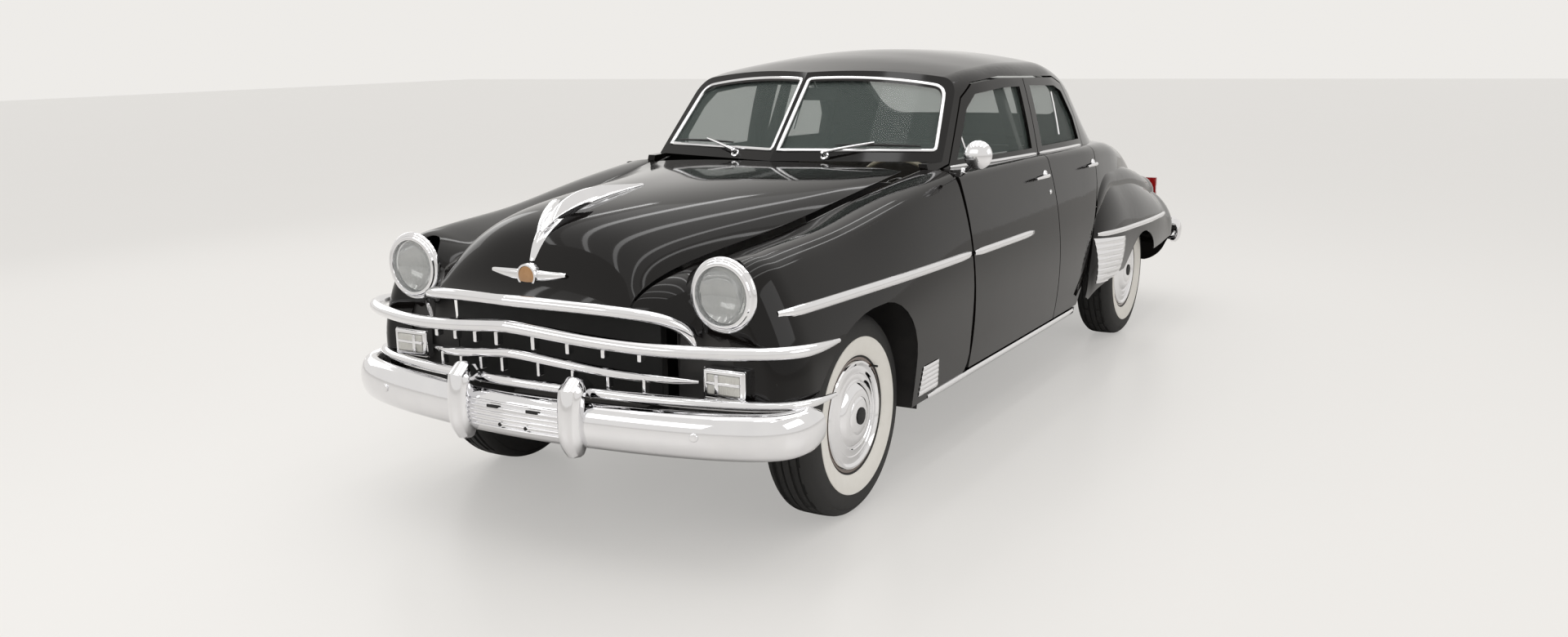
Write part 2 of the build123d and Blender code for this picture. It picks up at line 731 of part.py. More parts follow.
# ---- brightwork and lamps ----------------------------------------------------
bar_rows = (
    (((909, -2110, 702), (909, -2300, 704), (470, -2530, 706), (0, -2620, 756)), 19),
    (((909, -2120, 548), (909, -2300, 548), (470, -2500, 550), (0, -2566, 553)), 19),
    (((548, -2384, 586), (470, -2440, 596), (300, -2520, 640), (0, -2600, 676)), 15),
    (((540, -2390, 690), (440, -2480, 755), (300, -2565, 785), (0, -2622, 805)), 15),
)
grille_part = None
for half_line, bar_r in bar_rows:
    whole = list(half_line[:-1]) + [half_line[-1]] + [(-x, y, z) for x, y, z in reversed(half_line[:-1])]
    bar = tube(whole, bar_r, 0)
    grille_part = bar if grille_part is None else grille_part + bar
for tooth_x in (0, 90, 180, 270, 360):
    tooth_y = -2590 + tooth_x**2 / 2600
    grille_part += on_both_sides(block(tooth_x, tooth_y, 650, 14, 26, 230)) if tooth_x else block(0, tooth_y, 690, 14, 26, 300)
parking_lamps = on_both_sides(block(656, -2372, 590, 150, 22, 96))
save(grille_part - front_fenders - parking_lamps, "grille")

bumper_z = 458
bumper_rows = (
    ("front_bumper", -1, ((908, 2235), (905, 2330), (800, 2470), (420, 2560), (0, 2590))),
    ("rear_bumper", 1, ((908, 2235), (905, 2330), (800, 2470), (420, 2560), (0, 2590))),
)
guard_x = 228
for part_name, way, line in bumper_rows:
    with BuildPart() as bumper:
        with BuildLine() as path:
            FilletPolyline(*[(x, way * y, bumper_z) for x, y in line],
                           *[(-x, way * y, bumper_z) for x, y in reversed(line[:-1])], radius=90)
        with BuildSketch(Plane(origin=path.line @ 0, x_dir=(0, 0, 1), z_dir=path.line % 0)):
            RectangleRounded(132, 18, 8)
        sweep()
    bumper_part = bumper.part
    for side in (1, -1):
        guard = fillet(Box(64, 70, 210).edges(), 22).moved(Location((side * guard_x, way * 2610, bumper_z + 30)))
        bumper_part += guard
    save(bumper_part, part_name)

rim_ring = rod(headlamp_x, lamp_face_y - 12 - seat_gap, headlamp_z, lamp_rim_r, 12, (0, 1, 0))
rim_ring += rod(headlamp_x, lamp_face_y - 1, headlamp_z, lamp_rim_r - 24, 90, (0, 1, 0))
lamp_bowl = rod(headlamp_x, lamp_face_y - 20, headlamp_z, lamp_lens_r + 1, 80, (0, 1, 0))
save(on_both_sides(rim_ring - lamp_bowl), "headlamp_rims")
lens = rod(headlamp_x, lamp_face_y - 16, headlamp_z, lamp_lens_r, 60, (0, 1, 0))
save(on_both_sides(lens), "headlamp_lenses")
save(parking_lamps, "parking_lamps")
save(on_both_sides(block(714, 2352, 700, 90, 26, 130)), "tail_lamps")

# ---- cabin -------------------------------------------------------------------
def padded(size_x, size_y, size_z, edge, place, lean=0):
    return fillet(Box(size_x, size_y, size_z).edges(), edge).moved(Location(place, (lean, 0, 0)))


save(padded(1240, 560, 190, 50, (0, -20, 520)) + padded(1220, 150, 560, 50, (0, 262, 770), -12)
     + block(0, -20, 390, 1100, 440, 80), "front_seat")
save(padded(1100, 470, 170, 45, (0, 855, 540)) + padded(1040, 130, 440, 45, (0, 1130, 800), -14), "rear_seat")

wheel_tilt = 32
column_x = 370
column_head = Vector(column_x, -440, 930)
column_axis = Vector(0, cos(radians(wheel_tilt)), sin(radians(wheel_tilt)))
dash_part = padded(1270, 130, 230, 24, (0, -800, 920))
column_start = column_head - column_axis * 36
column = extrude(Plane(column_start, z_dir=-column_axis) * Circle(24), amount=430)
save(dash_part - extrude(Plane(column_start, z_dir=-column_axis) * Circle(26), amount=430), "dashboard")
save(column, "steering_column")

steer_r = 215
with BuildPart() as steering_wheel:
    with BuildSketch(Plane.XZ):
        with Locations((steer_r, 0)):
            Circle(11)
    revolve(axis=Axis.Z)
    with Locations((0, 0, -8)):
        Cylinder(38, 30)
    with Locations((0, 0, -4)):
        Box(2 * steer_r, 22, 12)
save(steering_wheel.part.moved(Plane(column_head, x_dir=(1, 0, 0), z_dir=column_axis).location), "steering_wheel")
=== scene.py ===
import math

import bpy
from mathutils import Matrix, Vector
from mathutils.bvhtree import BVHTree
from mathutils.geometry import convex_hull_2d


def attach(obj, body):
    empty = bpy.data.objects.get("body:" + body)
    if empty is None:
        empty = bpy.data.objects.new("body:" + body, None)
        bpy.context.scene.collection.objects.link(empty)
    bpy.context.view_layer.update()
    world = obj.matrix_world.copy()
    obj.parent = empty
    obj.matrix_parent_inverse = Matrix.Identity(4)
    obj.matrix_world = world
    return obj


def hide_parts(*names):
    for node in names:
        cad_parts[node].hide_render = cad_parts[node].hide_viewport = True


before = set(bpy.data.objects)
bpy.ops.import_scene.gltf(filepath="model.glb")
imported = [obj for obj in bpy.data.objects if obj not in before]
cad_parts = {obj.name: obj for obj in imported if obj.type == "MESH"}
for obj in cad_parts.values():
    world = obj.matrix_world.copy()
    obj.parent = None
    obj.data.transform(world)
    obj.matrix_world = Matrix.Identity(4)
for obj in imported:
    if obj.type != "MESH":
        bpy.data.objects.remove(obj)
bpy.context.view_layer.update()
sides = ((1, "left"), (-1, "right"))
print("frame loaded")


# ---------- small tools ----------
def deselect():
    for obj in bpy.context.selected_objects:
        obj.select_set(False)


def activate(obj):
    deselect()
    obj.select_set(True)
    bpy.context.view_layer.objects.active = obj


def applyAll(obj):
    activate(obj)
    bpy.ops.object.convert(target="MESH")
    bpy.ops.object.transform_apply(location=True, rotation=True, scale=True)
    return obj


def finishPiece(obj, name, body, material, smooth=40, replaces=()):
    applyAll(obj)
    obj.name = name
    obj.data.name = name
    obj.data.materials.clear()
    obj.data.materials.append(material)
    if smooth:
        bpy.ops.object.shade_smooth_by_angle(angle=math.radians(smooth))
    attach(obj, body)
    if replaces:
        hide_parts(*replaces)
    return obj


def brightPiece(obj, name, body="body", smooth=40, replaces=()):
    return finishPiece(obj, name, body, chrome, smooth, replaces)


def joinAll(objs):
    for obj in objs:
        applyAll(obj)
    for obj in objs:
        obj.select_set(True)
    bpy.context.view_layer.objects.active = objs[0]
    bpy.ops.object.join()
    return objs[0]


def linkNew(name, data):
    obj = bpy.data.objects.new(name, data)
    bpy.context.collection.objects.link(obj)
    return obj


def smoothed(obj, levels=2):
    mod = obj.modifiers.new("smooth", "SUBSURF")
    mod.levels = mod.render_levels = levels
    return obj


def thickened(obj, thickness):
    shell = obj.modifiers.new("thickness", "SOLIDIFY")
    shell.thickness = thickness
    shell.offset = 0
    return obj


def editFaces(obj, wanted):
    # goes into edit mode with only the wanted faces selected
    bpy.ops.object.mode_set(mode="EDIT")
    bpy.ops.mesh.select_all(action="DESELECT")
    bpy.ops.object.mode_set(mode="OBJECT")
    for face in obj.data.polygons:
        face.select = wanted(face)
    bpy.ops.object.mode_set(mode="EDIT")


def gridPiece(name, rows):
    # a sheet of quads through rows of points, all of one length
    wide = len(rows[0])
    faces = [(r * wide + c, r * wide + c + 1, (r + 1) * wide + c + 1, (r + 1) * wide + c)
             for r in range(len(rows) - 1) for c in range(wide - 1)]
    mesh = bpy.data.meshes.new(name)
    mesh.from_pydata([tuple(p) for row in rows for p in row], [], faces)
    return linkNew(name, mesh)


def bevelled(obj, width, segments=3):
    mod = obj.modifiers.new("bevel", "BEVEL")
    mod.width = width
    mod.segments = segments
    mod.limit_method = "ANGLE"
    return obj


def box(size, place, turn=(0, 0, 0), width=0.0, segments=3):
    bpy.ops.mesh.primitive_cube_add(size=1, location=place, rotation=turn)
    obj = bpy.context.object
    obj.scale = size
    activate(obj)
    bpy.ops.object.transform_apply(location=False, rotation=False, scale=True)
    return bevelled(obj, width, segments) if width else obj


def disc(radius, depth, place, axis=(0, 0, 1), vertices=48, width=0.0):
    turn = Vector((0, 0, 1)).rotation_difference(Vector(axis)).to_euler()
    bpy.ops.mesh.primitive_cylinder_add(radius=radius, depth=depth, vertices=vertices, location=place, rotation=turn)
    obj = bpy.context.object
    return bevelled(obj, width) if width else obj


def strip(points, radius, steps=10, cyclic=False, taper=None):
    # a moulding that follows points, swept as a bevelled curve
    curve = bpy.data.curves.new("strip", "CURVE")
    curve.dimensions = "3D"
    spline = curve.splines.new("NURBS")
    spline.points.add(len(points) - 1)
    for point, co in zip(spline.points, points):
        point.co = (*co, 1)
    spline.order_u = 4 if len(points) > 3 else 2
    spline.use_endpoint_u = True
    spline.use_cyclic_u = cyclic
    spline.resolution_u = steps
    curve.bevel_depth = radius
    curve.bevel_resolution = 3
    curve.use_fill_caps = True
    for point, share in zip(spline.points, taper or ()):
        point.radius = share
    return linkNew("strip", curve)


mergeDistance = 0.00005


def lathe(profile, place, axis, steps=64):
    # profile is a closed line of (radius, along axis) pairs, turned once round the axis
    mesh = bpy.data.meshes.new("lathe")
    count = len(profile)
    mesh.from_pydata([(r, 0, h) for r, h in profile], [(i, (i + 1) % count) for i in range(count)], [])
    obj = linkNew("lathe", mesh)
    activate(obj)
    bpy.ops.object.mode_set(mode="EDIT")
    bpy.ops.mesh.select_all(action="SELECT")
    bpy.ops.mesh.spin(steps=steps, angle=2 * math.pi, center=(0, 0, 0), axis=(0, 0, 1))
    bpy.ops.mesh.select_all(action="SELECT")
    bpy.ops.mesh.remove_doubles(threshold=mergeDistance)
    bpy.ops.mesh.normals_make_consistent(inside=False)
    bpy.ops.object.mode_set(mode="OBJECT")
    obj.rotation_euler = Vector((0, 0, 1)).rotation_difference(Vector(axis)).to_euler()
    obj.location = place
    return obj


# ---------- materials ----------
def newMaterial(name):
    mat = bpy.data.materials.new(name)
    mat.use_nodes = True
    return mat, mat.node_tree, mat.node_tree.nodes["Principled BSDF"]


def addTexture(tree, kind, **values):
    texture = tree.nodes.new(kind)
    for label, value in values.items():
        texture.inputs[label].default_value = value
    where = tree.nodes.new("ShaderNodeTexCoord")
    tree.links.new(where.outputs["Object"], texture.inputs["Vector"])
    return texture


def addNoise(tree, scale, detail=4):
    return addTexture(tree, "ShaderNodeTexNoise", Scale=scale, Detail=detail)


def roughFrom(tree, shader, noise, low, high):
    ramp = tree.nodes.new("ShaderNodeMapRange")
    ramp.inputs["To Min"].default_value = low
    ramp.inputs["To Max"].default_value = high
    tree.links.new(noise.outputs["Fac"], ramp.inputs["Value"])
    tree.links.new(ramp.outputs["Result"], shader.inputs["Roughness"])


def bumpFrom(tree, shader, output, strength, distance):
    bump = tree.nodes.new("ShaderNodeBump")
    bump.inputs["Strength"].default_value = strength
    bump.inputs["Distance"].default_value = distance
    tree.links.new(output, bump.inputs["Height"])
    tree.links.new(bump.outputs["Normal"], shader.inputs["Normal"])


def mixColour(tree, shader, noise, first, second):
    mix = tree.nodes.new("ShaderNodeMix")
    mix.data_type = "RGBA"
    mix.inputs["A"].default_value = (*first, 1)
    mix.inputs["B"].default_value = (*second, 1)
    tree.links.new(noise.outputs["Fac"], mix.inputs["Factor"])
    tree.links.new(mix.outputs["Result"], shader.inputs["Base Color"])


def solid(name, first, second, low, high, metallic=0.0, scale=30, coat=0.0, bump=0.0, bumpScale=400):
    mat, tree, shader = newMaterial(name)
    noise = addNoise(tree, scale)
    mixColour(tree, shader, noise, first, second)
    roughFrom(tree, shader, noise, low, high)
    shader.inputs["Metallic"].default_value = metallic
    shader.inputs["Coat Weight"].default_value = coat
    shader.inputs["Coat Roughness"].default_value = 0.03
    if bump:
        fine = addNoise(tree, bumpScale, 3)
        bumpFrom(tree, shader, fine.outputs["Fac"], bump, 0.001)
    return mat


paint = solid("black paint", (0.0045, 0.0038, 0.0036), (0.0065, 0.0056, 0.0052), 0.04, 0.08, scale=9)
paint.node_tree.nodes["Principled BSDF"].inputs["Specular IOR Level"].default_value = 0.26
chrome = solid("chrome", (0.78, 0.78, 0.80), (0.86, 0.86, 0.87), 0.03, 0.09,
               metallic=1.0, scale=14, bump=0.01, bumpScale=90)
blackSteel = solid("chassis black", (0.02, 0.02, 0.021), (0.045, 0.042, 0.04), 0.45, 0.7, scale=25, bump=0.15)
steel = solid("bare steel", (0.30, 0.29, 0.28), (0.44, 0.43, 0.42), 0.35, 0.6, metallic=0.9, scale=18, bump=0.2)
rimPaint = solid("rim brown", (0.075, 0.040, 0.024), (0.10, 0.055, 0.034), 0.18, 0.3, scale=20, coat=0.8)
rubber = solid("tyre rubber", (0.012, 0.012, 0.012), (0.024, 0.023, 0.022), 0.62, 0.8,
               scale=60, bump=0.3, bumpScale=700)
whiteWall = solid("white wall", (0.74, 0.72, 0.67), (0.82, 0.80, 0.76), 0.45, 0.6, scale=30, bump=0.1, bumpScale=500)
ivory = solid("ivory plastic", (0.70, 0.63, 0.47), (0.78, 0.72, 0.57), 0.22, 0.34, scale=12, coat=0.4)
darkSeal = solid("rubber seal", (0.012, 0.012, 0.012), (0.02, 0.02, 0.02), 0.55, 0.7, scale=50, bump=0.1)
blackOut = solid("matt black", (0.006, 0.006, 0.006), (0.012, 0.012, 0.012), 0.6, 0.8, scale=30, bump=0.1)


def clothMaterial(name, first, second):
    mat, tree, shader = newMaterial(name)
    noise = addNoise(tree, 22)
    mixColour(tree, shader, noise, first, second)
    wave = addTexture(tree, "ShaderNodeTexWave", Scale=180, Distortion=1.5)
    bumpFrom(tree, shader, wave.outputs["Fac"], 0.35, 0.001)
    shader.inputs["Roughness"].default_value = 0.85
    shader.inputs["Sheen Weight"].default_value = 0.4
    return mat


seatCloth = clothMaterial("seat cloth", (0.075, 0.066, 0.056), (0.11, 0.098, 0.085))


def glassMaterial(name, colour, rough, clear):
    mat, tree, shader = newMaterial(name)
    noise = addNoise(tree, 6)
    roughFrom(tree, shader, noise, rough, rough + 0.02)
    shader.inputs["Base Color"].default_value = (*colour, 1)
    shader.inputs["IOR"].default_value = 1.45
    mixer = tree.nodes.new("ShaderNodeMixShader")
    see = tree.nodes.new("ShaderNodeBsdfTransparent")
    see.inputs["Color"].default_value = (*[0.80 + 0.15 * c for c in colour], 1)
    mixer.inputs["Fac"].default_value = 1 - clear
    out = tree.nodes["Material Output"]
    tree.links.new(see.outputs[0], mixer.inputs[1])
    tree.links.new(shader.outputs[0], mixer.inputs[2])
    tree.links.new(mixer.outputs[0], out.inputs["Surface"])
    return mat


glass = glassMaterial("window glass", (0.30, 0.36, 0.34), 0.0, 0.86)
lensGlass = glassMaterial("lamp glass", (0.88, 0.90, 0.90), 0.05, 0.55)
redLens = glassMaterial("red lens", (0.42, 0.01, 0.01), 0.08, 0.15)


def flutes(mat, count, strength, distance):
    # upright flutes of a pressed lens
    tree = mat.node_tree
    shader = tree.nodes["Principled BSDF"]
    wave = addTexture(tree, "ShaderNodeTexWave", Scale=count, Distortion=0)
    wave.wave_type = "BANDS"
    wave.bands_direction = "X"
    bumpFrom(tree, shader, wave.outputs["Fac"], strength, distance)
    return mat


flutedGlass = flutes(glassMaterial("fluted glass", (0.80, 0.82, 0.82), 0.04, 0.72), 42, 0.9, 0.004)
parkLens = flutes(glassMaterial("parking lens", (0.86, 0.85, 0.80), 0.12, 0.12), 60, 0.6, 0.002)
reflector = solid("reflector", (0.70, 0.70, 0.68), (0.90, 0.90, 0.88), 0.05, 0.16, metallic=1.0, scale=30)
amber = solid("badge enamel", (0.42, 0.20, 0.06), (0.55, 0.30, 0.12), 0.2, 0.3, scale=60, coat=0.8)
floorPaint = solid("studio floor", (0.80, 0.785, 0.765), (0.82, 0.805, 0.785), 0.28, 0.36, scale=0.8)
# what the camera sees of the floor is part glow, so that it stays as pale as the photo's
floorTree = floorPaint.node_tree
floorGlow = floorTree.nodes.new("ShaderNodeEmission")
floorGlow.inputs["Color"].default_value = (0.86, 0.845, 0.82, 1)
floorBlend = floorTree.nodes.new("ShaderNodeMixShader")
floorSeen = floorTree.nodes.new("ShaderNodeLightPath")
floorShare = floorTree.nodes.new("ShaderNodeMath")
floorShare.operation = "MULTIPLY"
floorShare.inputs[1].default_value = 0.45
floorTree.links.new(floorSeen.outputs["Is Camera Ray"], floorShare.inputs[0])
floorTree.links.new(floorShare.outputs[0], floorBlend.inputs["Fac"])
floorTree.links.new(floorTree.nodes["Principled BSDF"].outputs[0], floorBlend.inputs[1])
floorTree.links.new(floorGlow.outputs[0], floorBlend.inputs[2])
floorTree.links.new(floorBlend.outputs[0], floorTree.nodes["Material Output"].inputs["Surface"])
print("materials made")

# ---------- finishes of the carried CAD nodes ----------
cadFinish = {
    "body_shell": paint, "front_fenders": paint, "rear_fenders": paint, "hood": paint, "trunk_lid": paint,
    "door_pillars": paint, "dashboard": paint, "windscreen_frame": paint, "radiator": blackOut,
    "grille": chrome, "front_bumper": chrome, "rear_bumper": chrome, "headlamp_rims": chrome, "parking_lamps": chrome,
    "headlamp_lenses": lensGlass, "tail_lamps": redLens, "steering_wheel": ivory,
    "engine_block": steel, "propeller_shaft": steel, "exhaust_pipe": steel,
}
# the finish of a node that isn't named above goes by the end of its name, or is chassis black
endFinish = {"_glass": glass, "_tyre": rubber, "_wheel": rimPaint, "_door": paint, "_seat": seatCloth}
for node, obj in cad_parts.items():
    byEnd = next((finish for end, finish in endFinish.items() if node.endswith(end)), blackSteel)
    finish = cadFinish.get(node, byEnd)
    for slot in obj.material_slots:
        slot.material = finish
    if not obj.material_slots:
        obj.data.materials.append(finish)
    activate(obj)
    bpy.ops.object.shade_smooth_by_angle(angle=math.radians(32))
print("carried nodes finished")


# ---------- laying pieces on the carried shapes ----------
def treeOfMeshes(*meshes):
    verts, faces = [], []
    for mesh in meshes:
        start = len(verts)
        verts.extend(v.co.copy() for v in mesh.vertices)
        faces.extend([start + i for i in p.vertices] for p in mesh.polygons)
    return BVHTree.FromPolygons(verts, faces)


def treeOf(*nodes):
    return treeOfMeshes(*(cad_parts[node].data for node in nodes))


def onSide(tree, side, y, z, proud=0.0):
    # the point that a ray from the car's side meets, moved out by proud
    hit = tree.ray_cast(Vector((side * 1.6, y, z)), Vector((-side, 0, 0)))
    return hit[0] + Vector((side * proud, 0, 0)) if hit[0] else None


def sideRow(tree, side, start, end, count, proud):
    row = []
    for i in range(count):
        share = i / (count - 1)
        spot = Vector(start).lerp(Vector(end), share)
        point = onSide(tree, side, spot.x, spot.y, proud)
        if point:
            row.append(point)
    return row


def onTop(tree, x, y, proud=0.0):
    hit = tree.ray_cast(Vector((x, y, 2.2)), Vector((0, 0, -1)))
    return hit[0] + Vector((0, 0, proud)) if hit[0] else None


def onFront(tree, x, z, way=1, proud=0.0):
    hit = tree.ray_cast(Vector((x, -way * 3.2, z)), Vector((0, way, 0)))
    return hit[0] - Vector((0, way * proud, 0)) if hit[0] else None


def patch(rows, thick):
    # a plate that follows a grid of points, with its edges turned
    return bevelled(thickened(gridPiece("patch", rows), thick), thick * 0.35, 2)


def ribbon(row, height, thick):
    # a crowned moulding of the given height along a row of points on the side
    shape = ((-0.5, 0.0), (-0.42, 0.55), (-0.2, 0.92), (0, 1.0), (0.2, 0.92), (0.42, 0.55), (0.5, 0.0))
    outward = Vector((1 if row[0].x > 0 else -1, 0, 0))
    last = len(row) - 1
    rows = []
    for i, point in enumerate(row):
        end = min(i, last - i)
        share = 0.55 if end == 0 else (0.9 if end == 1 else 1.0)
        lift = 0.3 if end == 0 else (0.85 if end == 1 else 1.0)
        rows.append([point + Vector((0, 0, a * height * share)) + outward * (b * thick * lift) for a, b in shape])
    return patch(rows, 0.0015)


# ---------- front fenders ----------
# y, sill x, widest x, z, shoulder x, z, crest x, z, inner x, z, shoulder radius
fenderRows = (
    (-0.905, 0.8473, 0.8813, 0.658, 0.8009, 1.0912, 0.7182, 1.1056, 0.6281, 1.1058, 0.043),
    (-1.120, 0.8485, 0.8825, 0.650, 0.8005, 1.0700, 0.7100, 1.0870, 0.6020, 1.0790, 0.055),
    (-1.350, 0.850, 0.884, 0.640, 0.800, 1.044, 0.700, 1.062, 0.570, 1.044, 0.070),
    (-1.570, 0.851, 0.886, 0.625, 0.795, 1.011, 0.695, 1.029, 0.534, 1.004, 0.080),
    (-1.785, 0.852, 0.888, 0.610, 0.790, 0.982, 0.690, 1.001, 0.500, 0.965, 0.090),
    (-2.000, 0.850, 0.888, 0.600, 0.784, 0.968, 0.684, 0.990, 0.466, 0.942, 0.092),
    (-2.120, 0.850, 0.887, 0.595, 0.780, 0.962, 0.679, 0.982, 0.449, 0.928, 0.094),
    (-2.200, 0.850, 0.886, 0.590, 0.776, 0.956, 0.674, 0.974, 0.440, 0.914, 0.095),
)
fenderNose = {
    "reach": 0.160, "depth": 0.090, "turns": (14, 28, 42, 55, 66, 76, 84, 90), "lowFront": 0.400, "low": 0.300,
    "middle": (0.655, 0.700), "drawnIn": (0.90, 0.75, 0.55, 0.35, 0.15),
}
# (y, z) round the wheel opening, from the front sill to the rear one
archRows = ((-2.275, 0.270), (-2.262, 0.470), (-1.975, 0.693), (-1.725, 0.735), (-1.515, 0.660),
            (-1.441, 0.500), (-1.441, 0.270))
archSpan = (0.42, 1.06)


def arc(a, b, c, count):
    # points on the circle through three, from the first to the last
    d = 2 * (a[0] * (b[1] - c[1]) + b[0] * (c[1] - a[1]) + c[0] * (a[1] - b[1]))
    sq = [p[0] ** 2 + p[1] ** 2 for p in (a, b, c)]
    cx = (sq[0] * (b[1] - c[1]) + sq[1] * (c[1] - a[1]) + sq[2] * (a[1] - b[1])) / d
    cy = (sq[0] * (c[0] - b[0]) + sq[1] * (a[0] - c[0]) + sq[2] * (b[0] - a[0])) / d
    first = math.atan2(a[1] - cy, a[0] - cx)
    last = math.atan2(c[1] - cy, c[0] - cx)
    radius = math.hypot(a[0] - cx, a[1] - cy)
    if first < last:
        first += 2 * math.pi
    turns = [first + (last - first) * i / count for i in range(count + 1)]
    return [(cx + radius * math.cos(turn), cy + radius * math.sin(turn)) for turn in turns]


def fenderLine(row, low, shrink=0.0):
    y, sillX, wideX, wideZ, edgeX, edgeZ, topX, topZ, innerX, innerZ, corner = row
    s = shrink
    line = [(sillX - s, low), (sillX + 0.6 * (wideX - sillX) - s, low + 0.45 * (wideZ - low)), (wideX - s, wideZ),
            (wideX - 0.28 * (wideX - edgeX) - s, wideZ + 0.55 * (edgeZ - corner - wideZ) - 0.5 * s),
            (edgeX + 0.20 * corner - s, edgeZ - corner - 0.8 * s),
            (edgeX - 0.12 * corner - 0.8 * s, edgeZ - 0.30 * corner - s),
            (edgeX - 0.55 * corner - 0.6 * s, edgeZ + 0.35 * (topZ - edgeZ) - s), (topX - 0.3 * s, topZ - s),
            (0.55 * topX + 0.45 * innerX, 0.55 * topZ + 0.45 * innerZ + 0.002 - s),
            (innerX + 0.3 * s, innerZ - s), (innerX + 0.3 * s, innerZ - 0.030 - s)]
    return [Vector((x, y, z)) for x, z in line]


def fenderPanel(side):
    rows = [fenderLine(row, fenderNose["low"]) for row in fenderRows]
    last = fenderRows[-1]
    for turn in fenderNose["turns"]:
        t = math.radians(turn)
        row = (last[0] - fenderNose["reach"] * math.sin(t),) + last[1:]
        rows.append(fenderLine(row, fenderNose["lowFront"], fenderNose["depth"] * (1 - math.cos(t))))
    # the face is drawn in towards its middle, and left open behind the lamp
    face = rows[-1]
    middle = Vector((fenderNose["middle"][0], face[0].y, fenderNose["middle"][1]))
    for share in fenderNose["drawnIn"]:
        rows.append([middle + (p - middle) * share for p in face])
    sheet = gridPiece("fender", [[(side * p.x, p.y, p.z) for p in row] for row in rows])
    obj = applyAll(thickened(smoothed(sheet), 0.003))
    outline = [archRows[0]] + arc(*archRows[1:4], 10)[:-1] + arc(*archRows[3:6], 8) + [archRows[6]]
    cut = bpy.data.meshes.new("arch")
    count = len(outline)
    cut.from_pydata([(side * x, y, z) for x in archSpan for y, z in outline], [],
                    [tuple(range(count)), tuple(range(2 * count - 1, count - 1, -1))]
                    + [(i, count + i, count + (i + 1) % count, (i + 1) % count) for i in range(count)])
    arch = linkNew("arch", cut)
    well = disc(0.095, 0.26, (side * 0.642, -2.330, 0.862), (0, 1, 0), 64)
    for cutter in (arch, well):
        activate(cutter)
        bpy.ops.object.mode_set(mode="EDIT")
        bpy.ops.mesh.select_all(action="SELECT")
        bpy.ops.mesh.normals_make_consistent(inside=False)
        bpy.ops.object.mode_set(mode="OBJECT")
        activate(obj)
        mod = obj.modifiers.new("cut", "BOOLEAN")
        mod.object = cutter
        mod.operation = "DIFFERENCE"
        mod.solver = "EXACT"
        bpy.ops.object.modifier_apply(modifier="cut")
        bpy.data.objects.remove(cutter)
    return obj


linerSizes = {
    "inner": 0.470, "top": 0.740, "low": 0.460, "noseShare": 0.85, "noseShrink": 0.040,
    # (x, z) outlines of the splash wall and of the plate behind the nose
    "rearY": -1.385,
    "splash": ((0.470, 0.280), (0.846, 0.280), (0.876, 0.620), (0.780, 0.965), (0.560, 0.990), (0.470, 0.740)),
    "frontY": -2.350,
    "front": ((0.455, 0.420), (0.780, 0.420), (0.820, 0.600), (0.760, 0.760), (0.480, 0.800)),
}


def fenderLiner(side):
    # inner wall of the wheel house, with a splash wall behind the wheel and a plate behind the nose
    verts, faces = [], []
    rows = [fenderLine(row, fenderNose["low"]) for row in fenderRows if row[0] < -1.3]
    last = fenderRows[-1]
    noseRow = (last[0] - linerSizes["noseShare"] * fenderNose["reach"],) + last[1:]
    rows.append(fenderLine(noseRow, fenderNose["lowFront"], linerSizes["noseShrink"]))
    for row in rows:
        p = row[-1]
        x = min(p.x, linerSizes["inner"])
        verts += [(side * p.x, p.y, p.z), (side * x, p.y, linerSizes["top"]), (side * x, p.y, linerSizes["low"])]
    for r in range(len(rows) - 1):
        faces += [(3 * r + c, 3 * r + c + 1, 3 * r + c + 4, 3 * r + c + 3) for c in (0, 1)]
    for y, outline in ((linerSizes["rearY"], linerSizes["splash"]), (linerSizes["frontY"], linerSizes["front"])):
        faces.append(tuple(range(len(verts), len(verts) + len(outline))))
        verts += [(side * x, y, z) for x, z in outline]
    mesh = bpy.data.meshes.new("liner")
    mesh.from_pydata(verts, [], faces)
    return thickened(linkNew("liner", mesh), 0.002)


fenderPanels = {}
for side, hand in sides:
    fenderPanels[hand] = finishPiece(fenderPanel(side), f"front_fender_{hand}", "body", paint, 45,
                                     ("front_fenders",))
    finishPiece(fenderLiner(side), f"fender_liner_{hand}", "body", blackSteel, 30)
print("front fenders dressed")

